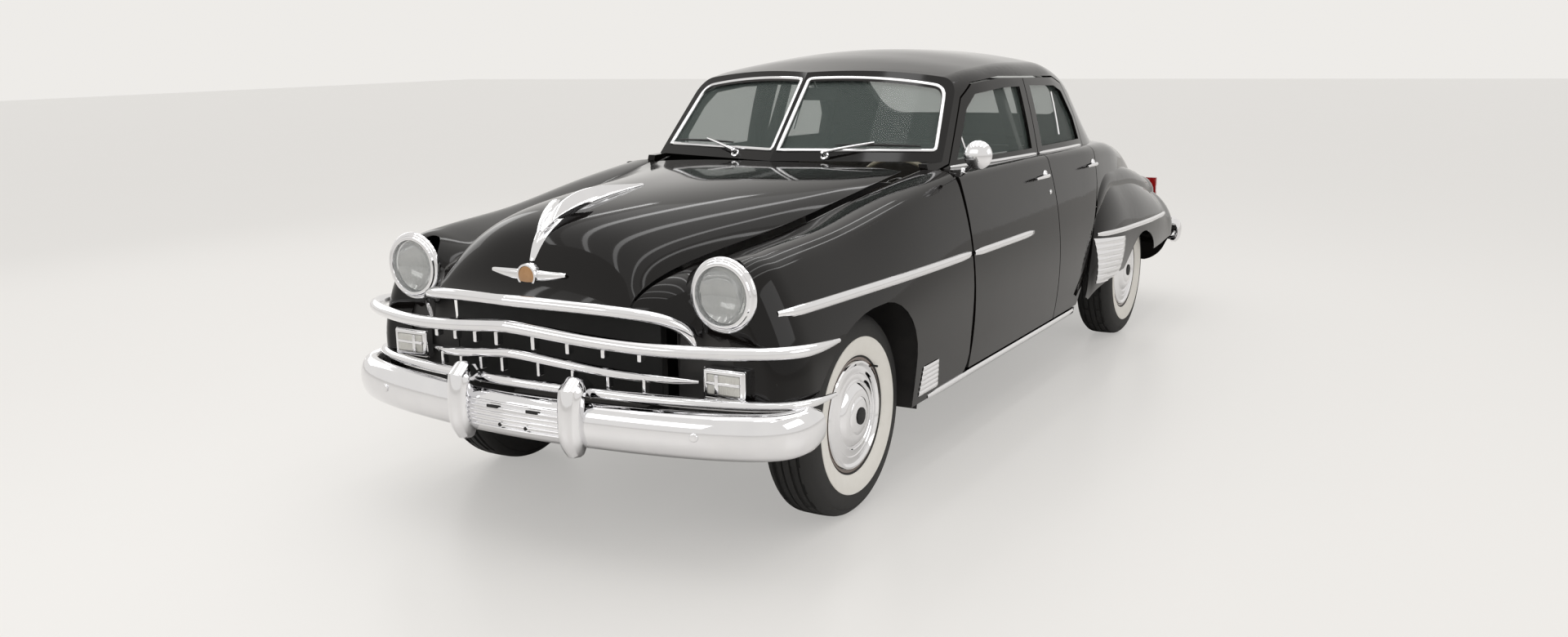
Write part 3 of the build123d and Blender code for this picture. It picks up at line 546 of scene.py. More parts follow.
# ---------- wheels ----------
wheelSizes = {
    "front": (0.715, -1.785), "rear": (0.760, 1.403), "axleZ": 0.355,
    "tyre": [(0.194, 0.066), (0.205, 0.0785), (0.230, 0.0890), (0.255, 0.0930), (0.275, 0.0945), (0.298, 0.0925),
             (0.318, 0.0880), (0.326, 0.0835), (0.3275, 0.0850), (0.333, 0.0815), (0.342, 0.0730), (0.3490, 0.0640),
             (0.3525, 0.0540), (0.3530, 0.0480), (0.3470, 0.0460), (0.3470, 0.0420), (0.3540, 0.0400),
             (0.3546, 0.0190), (0.3480, 0.0170), (0.3480, 0.0130), (0.3548, 0.0110)],
    "tyreInside": [(0.200, -0.050), (0.200, 0.050)],
    # sipes of the outer ribs: their turn, the ring and the band that they lie in, their wall and depth
    "sipes": {"turn": 3.75, "ring": 0.3515, "band": (0.020, 0.056), "wall": 0.0012, "depth": 0.0035},
    "whiteWall": [(0.2060, 0.0778), (0.2080, 0.0812), (0.2130, 0.0846), (0.2280, 0.0903), (0.2450, 0.0936),
                  (0.2620, 0.0958), (0.2720, 0.0962), (0.2735, 0.0940), (0.2600, 0.0920), (0.2280, 0.0870)],
    "cover": [(0.1870, 0.0700), (0.1900, 0.0770), (0.1870, 0.0820), (0.1800, 0.0830), (0.1760, 0.0800),
              (0.1700, 0.0760), (0.1600, 0.0765), (0.1500, 0.0800), (0.1460, 0.0805), (0.1430, 0.0780),
              (0.1330, 0.0790), (0.1200, 0.0830), (0.1170, 0.0800), (0.1120, 0.0800), (0.1060, 0.0850),
              (0.0960, 0.0920), (0.0860, 0.0950), (0.0740, 0.0962), (0.0660, 0.0960), (0.0630, 0.0985),
              (0.0500, 0.1010), (0.0250, 0.1030), (0.0, 0.1035), (0.0, 0.090), (0.080, 0.085), (0.150, 0.068),
              (0.1870, 0.0660)],
    "badgeOut": 0.1045, "badgeRound": 0.030, "valveOut": 0.083, "valveOff": 0.142,
}


def tyre(x, y, side):
    half, sipes = wheelSizes["tyre"], wheelSizes["sipes"]
    outline = half + [(r, -h) for r, h in reversed(half)] + wheelSizes["tyreInside"]
    obj = applyAll(lathe(outline, (x, y, wheelSizes["axleZ"]), (side, 0, 0), 96))

    def isSipe(face):
        dy, dz = face.center.y - y, face.center.z - wheelSizes["axleZ"]
        turn = int(round(math.degrees(math.atan2(dz, dy)) / sipes["turn"]))
        near, far = sipes["band"]
        return math.hypot(dy, dz) > sipes["ring"] and turn % 2 == 0 and near < abs(face.center.x - x) < far

    editFaces(obj, isSipe)
    bpy.ops.mesh.inset(thickness=sipes["wall"], depth=-sipes["depth"])
    bpy.ops.object.mode_set(mode="OBJECT")
    return obj


for place in ("front", "rear"):
    wheelX, wheelY = wheelSizes[place]
    for side, hand in sides:
        body = f"{place}_{hand}_wheel"
        out = (side, 0, 0)
        centre = Vector((side * wheelX, wheelY, wheelSizes["axleZ"]))
        rubberTyre = tyre(side * wheelX, wheelY, side)
        finishPiece(rubberTyre, f"{place}_{hand}_tyre_dressed", body, rubber, 35, (f"{place}_{hand}_tyre",))
        wall = lathe(wheelSizes["whiteWall"], centre, out, 128)
        finishPiece(wall, f"{place}_{hand}_white_wall", body, whiteWall)
        brightPiece(lathe(wheelSizes["cover"], centre, out, 128), f"{place}_{hand}_wheel_cover", body, 30)
        badgeAt = centre + Vector((side * wheelSizes["badgeOut"], 0, 0))
        badge = disc(wheelSizes["badgeRound"], 0.004, badgeAt, out, 64, 0.0012)
        finishPiece(badge, f"{place}_{hand}_cover_badge", body, blackOut)
        off = wheelSizes["valveOff"]
        valve = disc(0.004, 0.03, centre + Vector((side * wheelSizes["valveOut"], off, off)), (1, 0, 0), 16, 0.0012)
        finishPiece(valve, f"{place}_{hand}_valve", body, rubber)
print("wheels dressed")

# ---------- lamps ----------
lampSizes = {
    "head": (0.642, -2.3593, 0.862), "headRim": [
        (0.0900, 0.0010), (0.0900, 0.0130), (0.0925, 0.0175), (0.0975, 0.0190), (0.1035, 0.0170), (0.1060, 0.0120),
        (0.1085, 0.0120), (0.1150, 0.0095), (0.1185, 0.0040), (0.1190, -0.0010), (0.1150, -0.0014)],
    "headLens": [(0.0890, 0.0020), (0.0890, 0.0110), (0.0800, 0.0165), (0.0650, 0.0215), (0.0450, 0.0255),
                 (0.0220, 0.0280), (0.0, 0.0288)],
    "headBowl": [(0.0885, -0.004), (0.0700, -0.026), (0.0400, -0.040), (0.0, -0.046), (0.0, -0.049),
                 (0.0410, -0.043), (0.0715, -0.029), (0.0890, -0.008)],
    "headLensBack": [(0.0, 0.0258), (0.0420, 0.0225), (0.0800, 0.0132), (0.0860, 0.0020)],
    "parking": (0.656, -2.378, 0.590), "parkFrame": (0.152, 0.034, 0.098), "parkLens": (0.116, 0.012, 0.062),
    "parkBar": (0.120, 0.006, 0.010), "parkPost": (0.014, 0.007, 0.062),
    "tail": (0.714, 2.362, 0.700), "tailLens": (0.036, 0.026, 0.056), "bezelStretch": (0.95, 1, 1.35, 1),
    "bezel": [(0.040, -0.012), (0.048, -0.012), (0.050, -0.004), (0.046, 0.006), (0.039, 0.008), (0.036, 0.002)],
}
for side, hand in sides:
    lampX, lampY, lampZ = lampSizes["head"]
    centre = (side * lampX, lampY, lampZ)
    rim = lathe(lampSizes["headRim"], centre, (0, -1, 0), 96)
    brightPiece(rim, f"headlamp_ring_{hand}", smooth=40, replaces=("headlamp_rims",))
    bowl = lathe(lampSizes["headBowl"], centre, (0, -1, 0), 64)
    finishPiece(bowl, f"headlamp_bowl_{hand}", "body", reflector)
    lens = lathe(lampSizes["headLens"] + lampSizes["headLensBack"], centre, (0, -1, 0), 96)
    finishPiece(lens, f"headlamp_lens_{hand}", "body", flutedGlass, 50, ("headlamp_lenses",))

    parkX, parkY, parkZ = lampSizes["parking"]
    frameBox = applyAll(box(lampSizes["parkFrame"], (side * parkX, parkY, parkZ), width=0.010, segments=4))
    front = max(frameBox.data.polygons, key=lambda f: -f.normal.y * f.area).index
    editFaces(frameBox, lambda face: face.index == front)
    bpy.ops.mesh.inset(thickness=0.006, depth=0.0)
    bpy.ops.mesh.inset(thickness=0.003, depth=-0.010)
    bpy.ops.object.mode_set(mode="OBJECT")
    brightPiece(frameBox, f"parking_frame_{hand}")
    lensBox = box(lampSizes["parkLens"], (side * parkX, parkY - 0.013, parkZ), width=0.004)
    finishPiece(lensBox, f"parking_lens_{hand}", "body", parkLens)
    barBox = joinAll([box(lampSizes["parkBar"], (side * parkX, parkY - 0.0205, parkZ + 0.004), width=0.002),
                      box(lampSizes["parkPost"], (side * (parkX - 0.022), parkY - 0.0205, parkZ), width=0.002)])
    brightPiece(barBox, f"parking_bars_{hand}")

    tailX, tailY, tailZ = lampSizes["tail"]
    bpy.ops.mesh.primitive_uv_sphere_add(segments=48, ring_count=24, radius=1, location=(side * tailX, tailY, tailZ))
    red = bpy.context.object
    red.scale = lampSizes["tailLens"]
    finishPiece(red, f"tail_lens_{hand}", "body", redLens)
    bezel = applyAll(lathe(lampSizes["bezel"], (0, 0, 0), (0, 1, 0), 64))
    bezel.data.transform(Matrix.Translation((side * tailX, tailY, tailZ)) @ Matrix.Diagonal(lampSizes["bezelStretch"]))
    brightPiece(bezel, f"tail_bezel_{hand}")
print("lamps dressed")

# ---------- side brightwork ----------
sideSizes = {
    # (y, z) of each strip's two ends
    "spear": ((-2.300, 0.8055), (-0.905, 0.789)),
    "doorSpear": ((-0.889, 0.7885), (-0.205, 0.780)), "spearHeight": 0.034,
    "frontBelt": ((-0.885, 1.106), (0.128, 1.091)), "rearBelt": ((0.158, 1.0905), (0.830, 1.078)),
    "sill": ((-1.300, 0.306), (0.800, 0.306)), "rearMould": ((0.640, 0.650), (2.020, 0.598)),
    # (y, z) corners of the ribbed plates, from low front round to high front, and their ribs
    "plates": {
        "stone_plate": (((-1.395, 0.330), (-1.215, 0.330), (-1.235, 0.440), (-1.378, 0.440)), 6),
        "rear_stone_plate": (((0.640, 0.360), (1.000, 0.330), (1.030, 0.600), (0.655, 0.632)), 9)},
    "plateAcross": 8, "ribSteps": 6, "ribLow": 0.0025, "ribHigh": 0.0055,
    "handles": {"front": ((-0.150, 0.052), 1.004), "rear": ((0.600, 0.790), 0.992)},
    "handleOut": 0.030, "handleTaper": (0.55, 0.8, 1.0, 1.05, 1.25),
    "handleSeat": [(0.0, 0.010), (0.012, 0.009), (0.019, 0.004), (0.021, -0.002), (0.0, -0.002)],
    "lock": [(0.0, 0.004), (0.008, 0.004), (0.011, 0.001), (0.011, -0.002), (0.0, -0.002)], "lockAt": (0.075, 0.925),
    "ventBars": {"front": ((-0.560, 1.140), (-0.590, 1.290)), "rear": ((0.515, 1.110), (0.560, 1.392))},
}


def stonePlate(tree, side, corners, ribs):
    # a plate with level ribs, laid on the side; where the ray misses, the nearest point seen is taken
    across, steps = sideSizes["plateAcross"], ribs * sideSizes["ribSteps"]
    lowFront, lowRear, highRear, highFront = (Vector(corner) for corner in corners)
    rows = []
    for r in range(steps + 1):
        share = r / steps
        rise = sideSizes["ribLow"] + sideSizes["ribHigh"] * abs(math.sin(math.pi * share * ribs)) ** 0.8
        line = []
        for c in range(across + 1):
            spot = lowFront.lerp(lowRear, c / across).lerp(highFront.lerp(highRear, c / across), share)
            line.append(onSide(tree, side, spot.x, spot.y, rise * (0.35 if c in (0, across) else 1.0)))
        seen = [point for point in line if point]
        if len(seen) < 5:
            continue
        for c in range(across + 1):
            if not line[c]:
                wanted = lowFront.x + (lowRear.x - lowFront.x) * c / across
                line[c] = min(seen, key=lambda point: abs(point.y - wanted)).copy()
        rows.append(line)
    return patch(rows, 0.003)


fenderTree = treeOfMeshes(*(panel.data for panel in fenderPanels.values()))
frontDoorTree = {hand: treeOf(f"front_{hand}_door") for side, hand in sides}
rearDoorTree = {hand: treeOf(f"rear_{hand}_door") for side, hand in sides}
shellTree = treeOf("body_shell", "front_fenders", "windscreen_frame")
rearFenderTree = treeOf("rear_fenders")
for side, hand in sides:
    spots = (("spear_fender", "body", fenderTree, sideSizes["spear"], sideSizes["spearHeight"], 0.011, 26),
             ("spear_door", f"front_{hand}_door", frontDoorTree[hand], sideSizes["doorSpear"], 0.030, 0.010, 14),
             ("belt_front_door", f"front_{hand}_door", frontDoorTree[hand], sideSizes["frontBelt"], 0.018, 0.008, 22),
             ("belt_rear_door", f"rear_{hand}_door", rearDoorTree[hand], sideSizes["rearBelt"], 0.018, 0.008, 16),
             ("sill_strip", "body", shellTree, sideSizes["sill"], 0.026, 0.010, 30),
             ("rear_fender_strip", "body", rearFenderTree, sideSizes["rearMould"], 0.026, 0.010, 30))
    for label, body, tree, (start, end), height, thick, count in spots:
        row = sideRow(tree, side, start, end, count, 0.0002)
        brightPiece(ribbon(row, height, thick), f"{label}_{hand}", body, 50)

    # ribbed plate behind the front wheel, and the one on the rear fender
    for label, tree in (("stone_plate", fenderTree), ("rear_stone_plate", rearFenderTree)):
        brightPiece(stonePlate(tree, side, *sideSizes["plates"][label]), f"{label}_{hand}", smooth=60)

    # door handles with their rosettes, the bars of the quarter panes, and a lock below the front handle
    for place, tree in (("front", frontDoorTree[hand]), ("rear", rearDoorTree[hand])):
        body = f"{place}_{hand}_door"
        (startY, endY), z = sideSizes["handles"][place]
        a = onSide(tree, side, startY, z, sideSizes["handleOut"])
        b = onSide(tree, side, endY, z, sideSizes["handleOut"])
        foot = b - Vector((side * sideSizes["handleOut"], 0, 0))
        line = [a, a.lerp(b, 0.3) + Vector((side * 0.005, 0, 0.002)), a.lerp(b, 0.7) + Vector((side * 0.004, 0, 0)),
                b.lerp(a, 0.12), foot]
        grip = strip(line, 0.0095, steps=8, taper=sideSizes["handleTaper"])
        seat = lathe(sideSizes["handleSeat"], foot, (side, 0, 0), 32)
        brightPiece(joinAll([grip, seat]), f"{place}_handle_{hand}", body)
        row = sideRow(treeOf(f"{body}_glass"), side, *sideSizes["ventBars"][place], 8, 0.001)
        brightPiece(strip(row, 0.0055, steps=4), f"{place}_vent_bar_{hand}", body)
    lock = lathe(sideSizes["lock"], onSide(frontDoorTree[hand], side, *sideSizes["lockAt"], 0.001), (side, 0, 0), 24)
    brightPiece(lock, f"door_lock_{hand}", f"front_{hand}_door")
print("side brightwork dressed")

# ---------- hood and front apron ----------
# along the middle: y, crown z, then the seam's x, y, z and how full the shoulder is
hoodRows = (
    (-0.991, 1.1280, 0.600, -0.991, 1.1060, 0.55), (-1.150, 1.1300, 0.583, -1.150, 1.0830, 0.55),
    (-1.350, 1.1310, 0.560, -1.350, 1.0520, 0.58), (-1.570, 1.1280, 0.526, -1.570, 1.0130, 0.60),
    (-1.785, 1.1230, 0.492, -1.785, 0.9790, 0.62), (-1.930, 1.1170, 0.470, -1.930, 0.9640, 0.63),
    (-2.060, 1.1090, 0.450, -2.060, 0.9500, 0.64), (-2.170, 1.0990, 0.436, -2.165, 0.9370, 0.64),
    (-2.260, 1.0860, 0.424, -2.250, 0.9240, 0.64), (-2.335, 1.0680, 0.416, -2.315, 0.9120, 0.64),
    (-2.395, 1.0420, 0.409, -2.370, 0.8980, 0.64), (-2.435, 1.0080, 0.403, -2.412, 0.8840, 0.64),
    (-2.462, 0.9680, 0.398, -2.443, 0.8700, 0.64), (-2.482, 0.9250, 0.394, -2.466, 0.8560, 0.64),
    (-2.502, 0.8850, 0.391, -2.482, 0.8430, 0.64), (-2.530, 0.8520, 0.390, -2.492, 0.8300, 0.64),
    (-2.556, 0.8330, 0.390, -2.500, 0.8180, 0.64),
)


def hoodLine(row, count=14):
    midY, crown, seamX, seamY, seamZ, full = row
    line = []
    for i in range(-count, count + 1):
        share = abs(i) / count
        x = seamX * i / count
        drop = 1 - (1 - share ** (2.0 + full)) ** (1 / 1.35)
        lead = share ** 2.2
        line.append(Vector((x, midY + (seamY - midY) * lead, crown + (seamZ - crown) * drop)))
    return line


hoodPanel = smoothed(patch([hoodLine(row) for row in hoodRows], 0.004))
finishPiece(hoodPanel, "hood_panel", "hood", paint, 0, ("hood",))
bpy.ops.object.shade_smooth()

# panel between the hood's seam, the fender and the upper moulding
apronRows = (
    ((0.440, -2.180, 0.925), (0.470, -2.190, 0.925)), ((0.428, -2.258, 0.912), (0.500, -2.270, 0.915)),
    ((0.419, -2.322, 0.900), (0.540, -2.330, 0.900)), ((0.412, -2.376, 0.886), (0.556, -2.352, 0.870)),
    ((0.405, -2.418, 0.872), (0.560, -2.358, 0.840)), ((0.400, -2.448, 0.858), (0.562, -2.360, 0.810)),
    ((0.396, -2.471, 0.844), (0.563, -2.361, 0.780)), ((0.393, -2.487, 0.831), (0.564, -2.361, 0.750)),
    ((0.392, -2.500, 0.812), (0.564, -2.361, 0.720)),
)
for side, hand in sides:
    rows = []
    for inner, outer in apronRows:
        a, b = Vector(inner), Vector(outer)
        line = []
        for i in range(9):
            share = i / 8
            point = a.lerp(b, share)
            point.y += 0.020 * math.sin(math.pi * share)
            line.append(Vector((side * point.x, point.y, point.z)))
        rows.append(line)
    finishPiece(smoothed(patch(rows, 0.003)), f"front_apron_{hand}", "body", paint, 0)
    bpy.ops.object.shade_smooth()
print("hood dressed")

# ---------- grille ----------
grilleSizes = {
    # each bar from the middle outwards, and its radius
    "main": (((0, -2.615, 0.757), (0.050, -2.603, 0.752), (0.250, -2.572, 0.728), (0.470, -2.522, 0.709),
              (0.640, -2.468, 0.704), (0.800, -2.405, 0.704), (0.893, -2.335, 0.704), (0.912, -2.245, 0.703),
              (0.910, -2.120, 0.700)), 0.021),
    "arch": (((0, -2.612, 0.838), (0.040, -2.603, 0.836), (0.200, -2.573, 0.830), (0.390, -2.520, 0.816),
              (0.480, -2.462, 0.795), (0.535, -2.405, 0.758), (0.550, -2.385, 0.715), (0.552, -2.382, 0.690)), 0.019),
    "second": (((0, -2.600, 0.668), (0.050, -2.588, 0.662), (0.250, -2.545, 0.632), (0.400, -2.478, 0.606),
                (0.500, -2.415, 0.592), (0.556, -2.380, 0.586)), 0.016),
    "low": (((0, -2.560, 0.560), (0.250, -2.538, 0.556), (0.470, -2.490, 0.545), (0.700, -2.420, 0.536),
             (0.850, -2.350, 0.532), (0.905, -2.270, 0.532), (0.909, -2.140, 0.532)), 0.018),
    "toothX": (0.075, 0.190, 0.305, 0.420), "upperTooth": (0.014, 0.030, 0.054), "lowerTooth": (0.011, 0.026, 0.046),
}
bars = []
for label in ("main", "arch", "second", "low"):
    half, radius = grilleSizes[label]
    points = [(-x, y, z) for x, y, z in reversed(half[1:])] + list(half)
    ends = [1.0] * len(points)
    ends[0] = ends[-1] = 0.35
    ends[1] = ends[-2] = 0.85
    bar = strip(points, radius, steps=8, taper=ends)
    bar.data.bevel_resolution = 5
    bars.append(bar)
brightPiece(joinAll(bars), "grille_bars", smooth=60, replaces=("grille",))
teeth = []
for x in grilleSizes["toothX"]:
    for side in (1, -1):
        topY = -2.600 + 0.20 * x + 0.10 * x * x
        teeth.append(box(grilleSizes["upperTooth"], (side * x, topY + 0.012, 0.712 - 0.06 * x), width=0.004))
        teeth.append(box(grilleSizes["lowerTooth"], (side * x, topY + 0.030, 0.622 - 0.10 * x), width=0.003))
brightPiece(joinAll(teeth), "grille_teeth")
print("grille dressed")

# ---------- bright bead round the windscreen panes ----------
beadSizes = {"steps": 90, "radius": 0.0095, "off": (0, -0.010, 0.006), "frontOf": -0.4}
glassVerts = [v.co.copy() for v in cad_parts["fixed_glass"].data.vertices if v.co.y < beadSizes["frontOf"]]
for side, hand in sides:
    verts = [co for co in glassVerts if co.x * side > 0.001]
    ring = [verts[i] for i in convex_hull_2d([(co.x, co.z) for co in verts])]
    # even steps round the outline
    lengths = [0.0]
    for i in range(len(ring)):
        lengths.append(lengths[-1] + (ring[(i + 1) % len(ring)] - ring[i]).length)
    points = []
    for k in range(beadSizes["steps"]):
        target = lengths[-1] * k / beadSizes["steps"]
        i = max(j for j in range(len(ring)) if lengths[j] <= target)
        share = (target - lengths[i]) / max(lengths[i + 1] - lengths[i], 1e-6)
        point = ring[i].lerp(ring[(i + 1) % len(ring)], share)
        points.append(point + Vector(beadSizes["off"]))
    bead = strip(points, beadSizes["radius"], steps=2, cyclic=True)
    brightPiece(bead, f"screen_bead_{hand}", smooth=60)
print("windscreen dressed")

# ---------- bumpers ----------
bumperSizes = {
    "middle": 0.458, "guardX": 0.228, "guardY": 2.588,
    # (x, y) of the face's centre line, from the middle outwards
    "line": [(0.0, 2.590), (0.200, 2.580), (0.420, 2.556), (0.620, 2.520), (0.780, 2.470), (0.862, 2.420),
             (0.900, 2.360), (0.908, 2.290), (0.908, 2.240)],
    # (out from the face, up) of the section, bottom lip to top lip
    "section": [(-0.030, -0.070), (-0.004, -0.072), (0.010, -0.062), (0.021, -0.040), (0.026, -0.012), (0.025, 0.018),
                (0.018, 0.042), (0.006, 0.060), (-0.010, 0.068), (-0.034, 0.066)],
    # (out, up) along a guard from its hooked top down, with its half width there, and its section
    "guard": [(-0.070, 0.096, 0.030), (-0.040, 0.126, 0.036), (-0.005, 0.132, 0.041), (0.020, 0.110, 0.043),
              (0.030, 0.060, 0.041), (0.033, 0.000, 0.038), (0.030, -0.050, 0.037), (0.012, -0.078, 0.034),
              (-0.018, -0.082, 0.028)],
    "guardSection": ((-1.0, -1.2), (-0.94, -0.25), (-0.66, 0.55), (-0.25, 0.92), (0.25, 0.92), (0.66, 0.55),
                     (0.94, -0.25), (1.0, -1.2)), "guardDepth": 0.024,
    "ribs": 6, "ribLow": -0.042, "ribStep": 0.0165, "slotY": -2.6155,
}


def bumperBar(way):
    line = bumperSizes["line"]
    whole = [(-x, y) for x, y in reversed(line[1:])] + line
    rows = []
    for i, (x, y) in enumerate(whole):
        before, after = whole[max(i - 1, 0)], whole[min(i + 1, len(whole) - 1)]
        along = Vector((after[0] - before[0], after[1] - before[1])).normalized()
        out = Vector((-along.y, along.x))
        end = 0.72 if i in (0, len(whole) - 1) else 1.0
        rows.append([Vector((x + out.x * a * end, way * (y + out.y * a * end), bumperSizes["middle"] + b * end))
                     for a, b in bumperSizes["section"]])
    return smoothed(patch(rows, 0.004))


def bumperGuard(side, way):
    # a crowned upright that curls back over the bar's top
    spine = [(way * (bumperSizes["guardY"] + out), bumperSizes["middle"] + up)
             for out, up, half in bumperSizes["guard"]]
    rows = []
    for i, (y, z) in enumerate(spine):
        half = bumperSizes["guard"][i][2]
        y0, z0 = spine[max(i - 1, 0)]
        y1, z1 = spine[min(i + 1, len(spine) - 1)]
        along = Vector((0, y1 - y0, z1 - z0)).normalized()
        out = Vector((0, along.z, -along.y)) * -way
        if (out.y * way < 0 and i > 2) or (i <= 2 and out.z < 0):
            out = -out
        rows.append([Vector((side * bumperSizes["guardX"] + half * a, y, z)) + out * (b * bumperSizes["guardDepth"])
                     for a, b in bumperSizes["guardSection"]])
    return smoothed(patch(rows, 0.006))


for way, place in ((-1, "front"), (1, "rear")):
    brightPiece(bumperBar(way), f"{place}_bumper_bar", smooth=50, replaces=(f"{place}_bumper",))
    for side, hand in sides:
        brightPiece(bumperGuard(side, way), f"{place}_guard_{hand}", smooth=60)

# ribbed middle plate of the front bumper, with its bolts, and its slots as matt black plates of painted shade
ribs = []
stops = bumperSizes["section"]
for i in range(bumperSizes["ribs"]):
    rise = bumperSizes["ribLow"] + i * bumperSizes["ribStep"]
    low, high = next((a, b) for a, b in zip(stops, stops[1:]) if a[1] <= rise <= b[1])
    out = low[0] + (high[0] - low[0]) * (rise - low[1]) / (high[1] - low[1])
    row = [Vector((x, -2.590 - out + 0.010 * (5 * x) ** 2 - 0.0005, bumperSizes["middle"] + rise))
           for x in (-0.18, -0.09, 0, 0.09, 0.18)]
    ribs.append(strip(row, 0.0045, steps=4))
brightPiece(joinAll(ribs), "front_bumper_ribs")
# the slots and round holes are matt black plates laid on the bar's face: painted shade of the openings
slots = [box((0.046, 0.006, 0.010), (x, bumperSizes["slotY"], 0.487), width=0.002) for x in (-0.081, 0.081)]
slots += [disc(0.0062, 0.006, (x, bumperSizes["slotY"], 0.430), (0, 1, 0), 24, 0.001) for x in (-0.053, 0.053)]
finishPiece(joinAll(slots), "front_bumper_slot_shade", "body", blackOut)
bolts = [disc(0.014, 0.010, (side * 0.640, way * 2.540, 0.462), (side * 0.22, way, 0), 32, 0.004)
         for side in (1, -1) for way in (-1, 1)]
brightPiece(joinAll(bolts), "bumper_bolts")
print("bumpers dressed")

# ---------- hood ornament and badge ----------
hoodTree = treeOfMeshes(hoodPanel.data)
ornamentSizes = {
    "rear": -1.870, "tip": -2.450, "rows": 22,
    "section": ((-1.5, 0.0), (-0.8, 0.22), (-0.42, 0.66), (0, 1.0), (0.42, 0.66), (0.8, 0.22), (1.5, 0.0)),
    "wingRows": 8, "wingRoot": -2.440, "wingStart": 0.008, "wingReach": 0.060, "wingSweep": 0.150, "wingChord": 0.085,
    "wingSection": ((0.0, 0.0), (0.12, 0.75), (0.4, 1.0), (0.7, 0.6), (1.0, 0.0)),
    "dropTop": 1.050, "dropStep": 0.012, "dropRows": 10,
    "dropSection": ((-1, 0.0), (-0.7, 0.7), (0, 1.0), (0.7, 0.7), (1, 0.0)),
}
rows = []
for i in range(ornamentSizes["rows"] + 1):
    share = i / ornamentSizes["rows"]
    y = ornamentSizes["rear"] + share * (ornamentSizes["tip"] - ornamentSizes["rear"])
    seat = onTop(hoodTree, 0.0, y)
    if not seat:
        continue
    high = 0.006 + 0.040 * math.sin(math.pi * min(share * 1.02, 1) ** 1.6) ** 0.8 if share < 0.97 else 0.010
    half = 0.004 + 0.020 * share ** 1.2 * (1 if share < 0.9 else (1 - share) / 0.1 * 0.9 + 0.1)
    rows.append([seat + Vector((half * a, 0, high * b)) for a, b in ornamentSizes["section"]])
brightPiece(smoothed(patch(rows, 0.003), 1), "hood_spine", "hood", 60)
wings = []
for side, hand in sides:
    rows = []
    for i in range(ornamentSizes["wingRows"] + 1):
        share = i / ornamentSizes["wingRows"]
        reach = ornamentSizes["wingStart"] + ornamentSizes["wingReach"] * share
        back = ornamentSizes["wingRoot"] + ornamentSizes["wingSweep"] * share ** 1.2
        seat = onTop(hoodTree, side * reach * 0.5, back)
        lift = seat.z + 0.020 + 0.006 * share
        chord = ornamentSizes["wingChord"] * (1 - 0.45 * share)
        rows.append([Vector((side * reach, back + chord * a, lift + 0.010 * b * (1 - 0.6 * share)))
                     for a, b in ornamentSizes["wingSection"]])
    wings.append(patch(rows, 0.004))
brightPiece(joinAll(wings), "hood_wings", "hood", 60)

noseDrop = []
for i in range(ornamentSizes["dropRows"]):
    seat = onFront(hoodTree, 0.0, ornamentSizes["dropTop"] - i * ornamentSizes["dropStep"])
    half = 0.028 * (1 - i / 11) + 0.004
    noseDrop.append([seat + Vector((half * a, -0.008 * b, 0)) for a, b in ornamentSizes["dropSection"]])
brightPiece(patch(noseDrop, 0.003), "hood_nose_drop", "hood", 60)

badgeSizes = {
    "z": 0.899, "reach": 0.150, "wingStart": 0.034, "tall": 0.036, "wingRows": 10,
    "ring": [(0.0, 0.010), (0.020, 0.011), (0.030, 0.010), (0.0315, 0.0145), (0.0375, 0.0145), (0.040, 0.008),
             (0.040, -0.012), (0.0, -0.012)],
    "face": [(0.0, 0.0135), (0.018, 0.0132), (0.030, 0.0120), (0.0305, 0.009), (0.0, 0.009)],
    "wingSection": ((0.0, 0.1), (0.2, 0.9), (0.5, 1.0), (0.8, 0.9), (1.0, 0.1)),
}
badgeSeat = onFront(hoodTree, 0.0, badgeSizes["z"])
brightPiece(lathe(badgeSizes["ring"], badgeSeat, (0, -1, 0), 64), "hood_badge_ring", "hood")
finishPiece(lathe(badgeSizes["face"], badgeSeat, (0, -1, 0), 48), "hood_badge_face", "hood", amber)
plates = []
for side, hand in sides:
    rows = []
    for i in range(badgeSizes["wingRows"] + 1):
        share = i / badgeSizes["wingRows"]
        x = side * (badgeSizes["wingStart"] + (badgeSizes["reach"] - badgeSizes["wingStart"]) * share)
        tall = badgeSizes["tall"] * (1 - 0.70 * share ** 1.5)
        seat = onFront(hoodTree, x, badgeSizes["z"] + 0.002)
        rows.append([Vector((x, seat.y - 0.0015 - 0.007 * b, badgeSizes["z"] + 0.014 - tall + tall * a * 1.1))
                     for a, b in badgeSizes["wingSection"]])
    plates.append(patch(rows, 0.003))
brightPiece(joinAll(plates), "hood_badge_wings", "hood", 60)
print("hood brightwork dressed")

# ---------- wipers, mirror ----------
wiperSizes = {
    "pivot": (0.215, 1.150), "armEnd": (0.400, 1.190), "blade": ((0.245, 1.186), (0.585, 1.182)), "proud": 0.010,
    "knob": [(0.0, 0.026), (0.008, 0.025), (0.011, 0.018), (0.012, 0.004), (0.018, 0.000), (0.018, -0.006),
             (0.0, -0.006)],
}


def onScreen(side, x, z, proud):
    # a point in front of the pane's plane: its foot, its slope back and its sweep
    slope, sweep, footY, footZ = 0.954, 0.2818, -0.960, 1.156
    out = Vector((side * sweep, -1, slope)).normalized()
    return Vector((side * x, footY + slope * (z - footZ) + sweep * x, z)) + out * proud


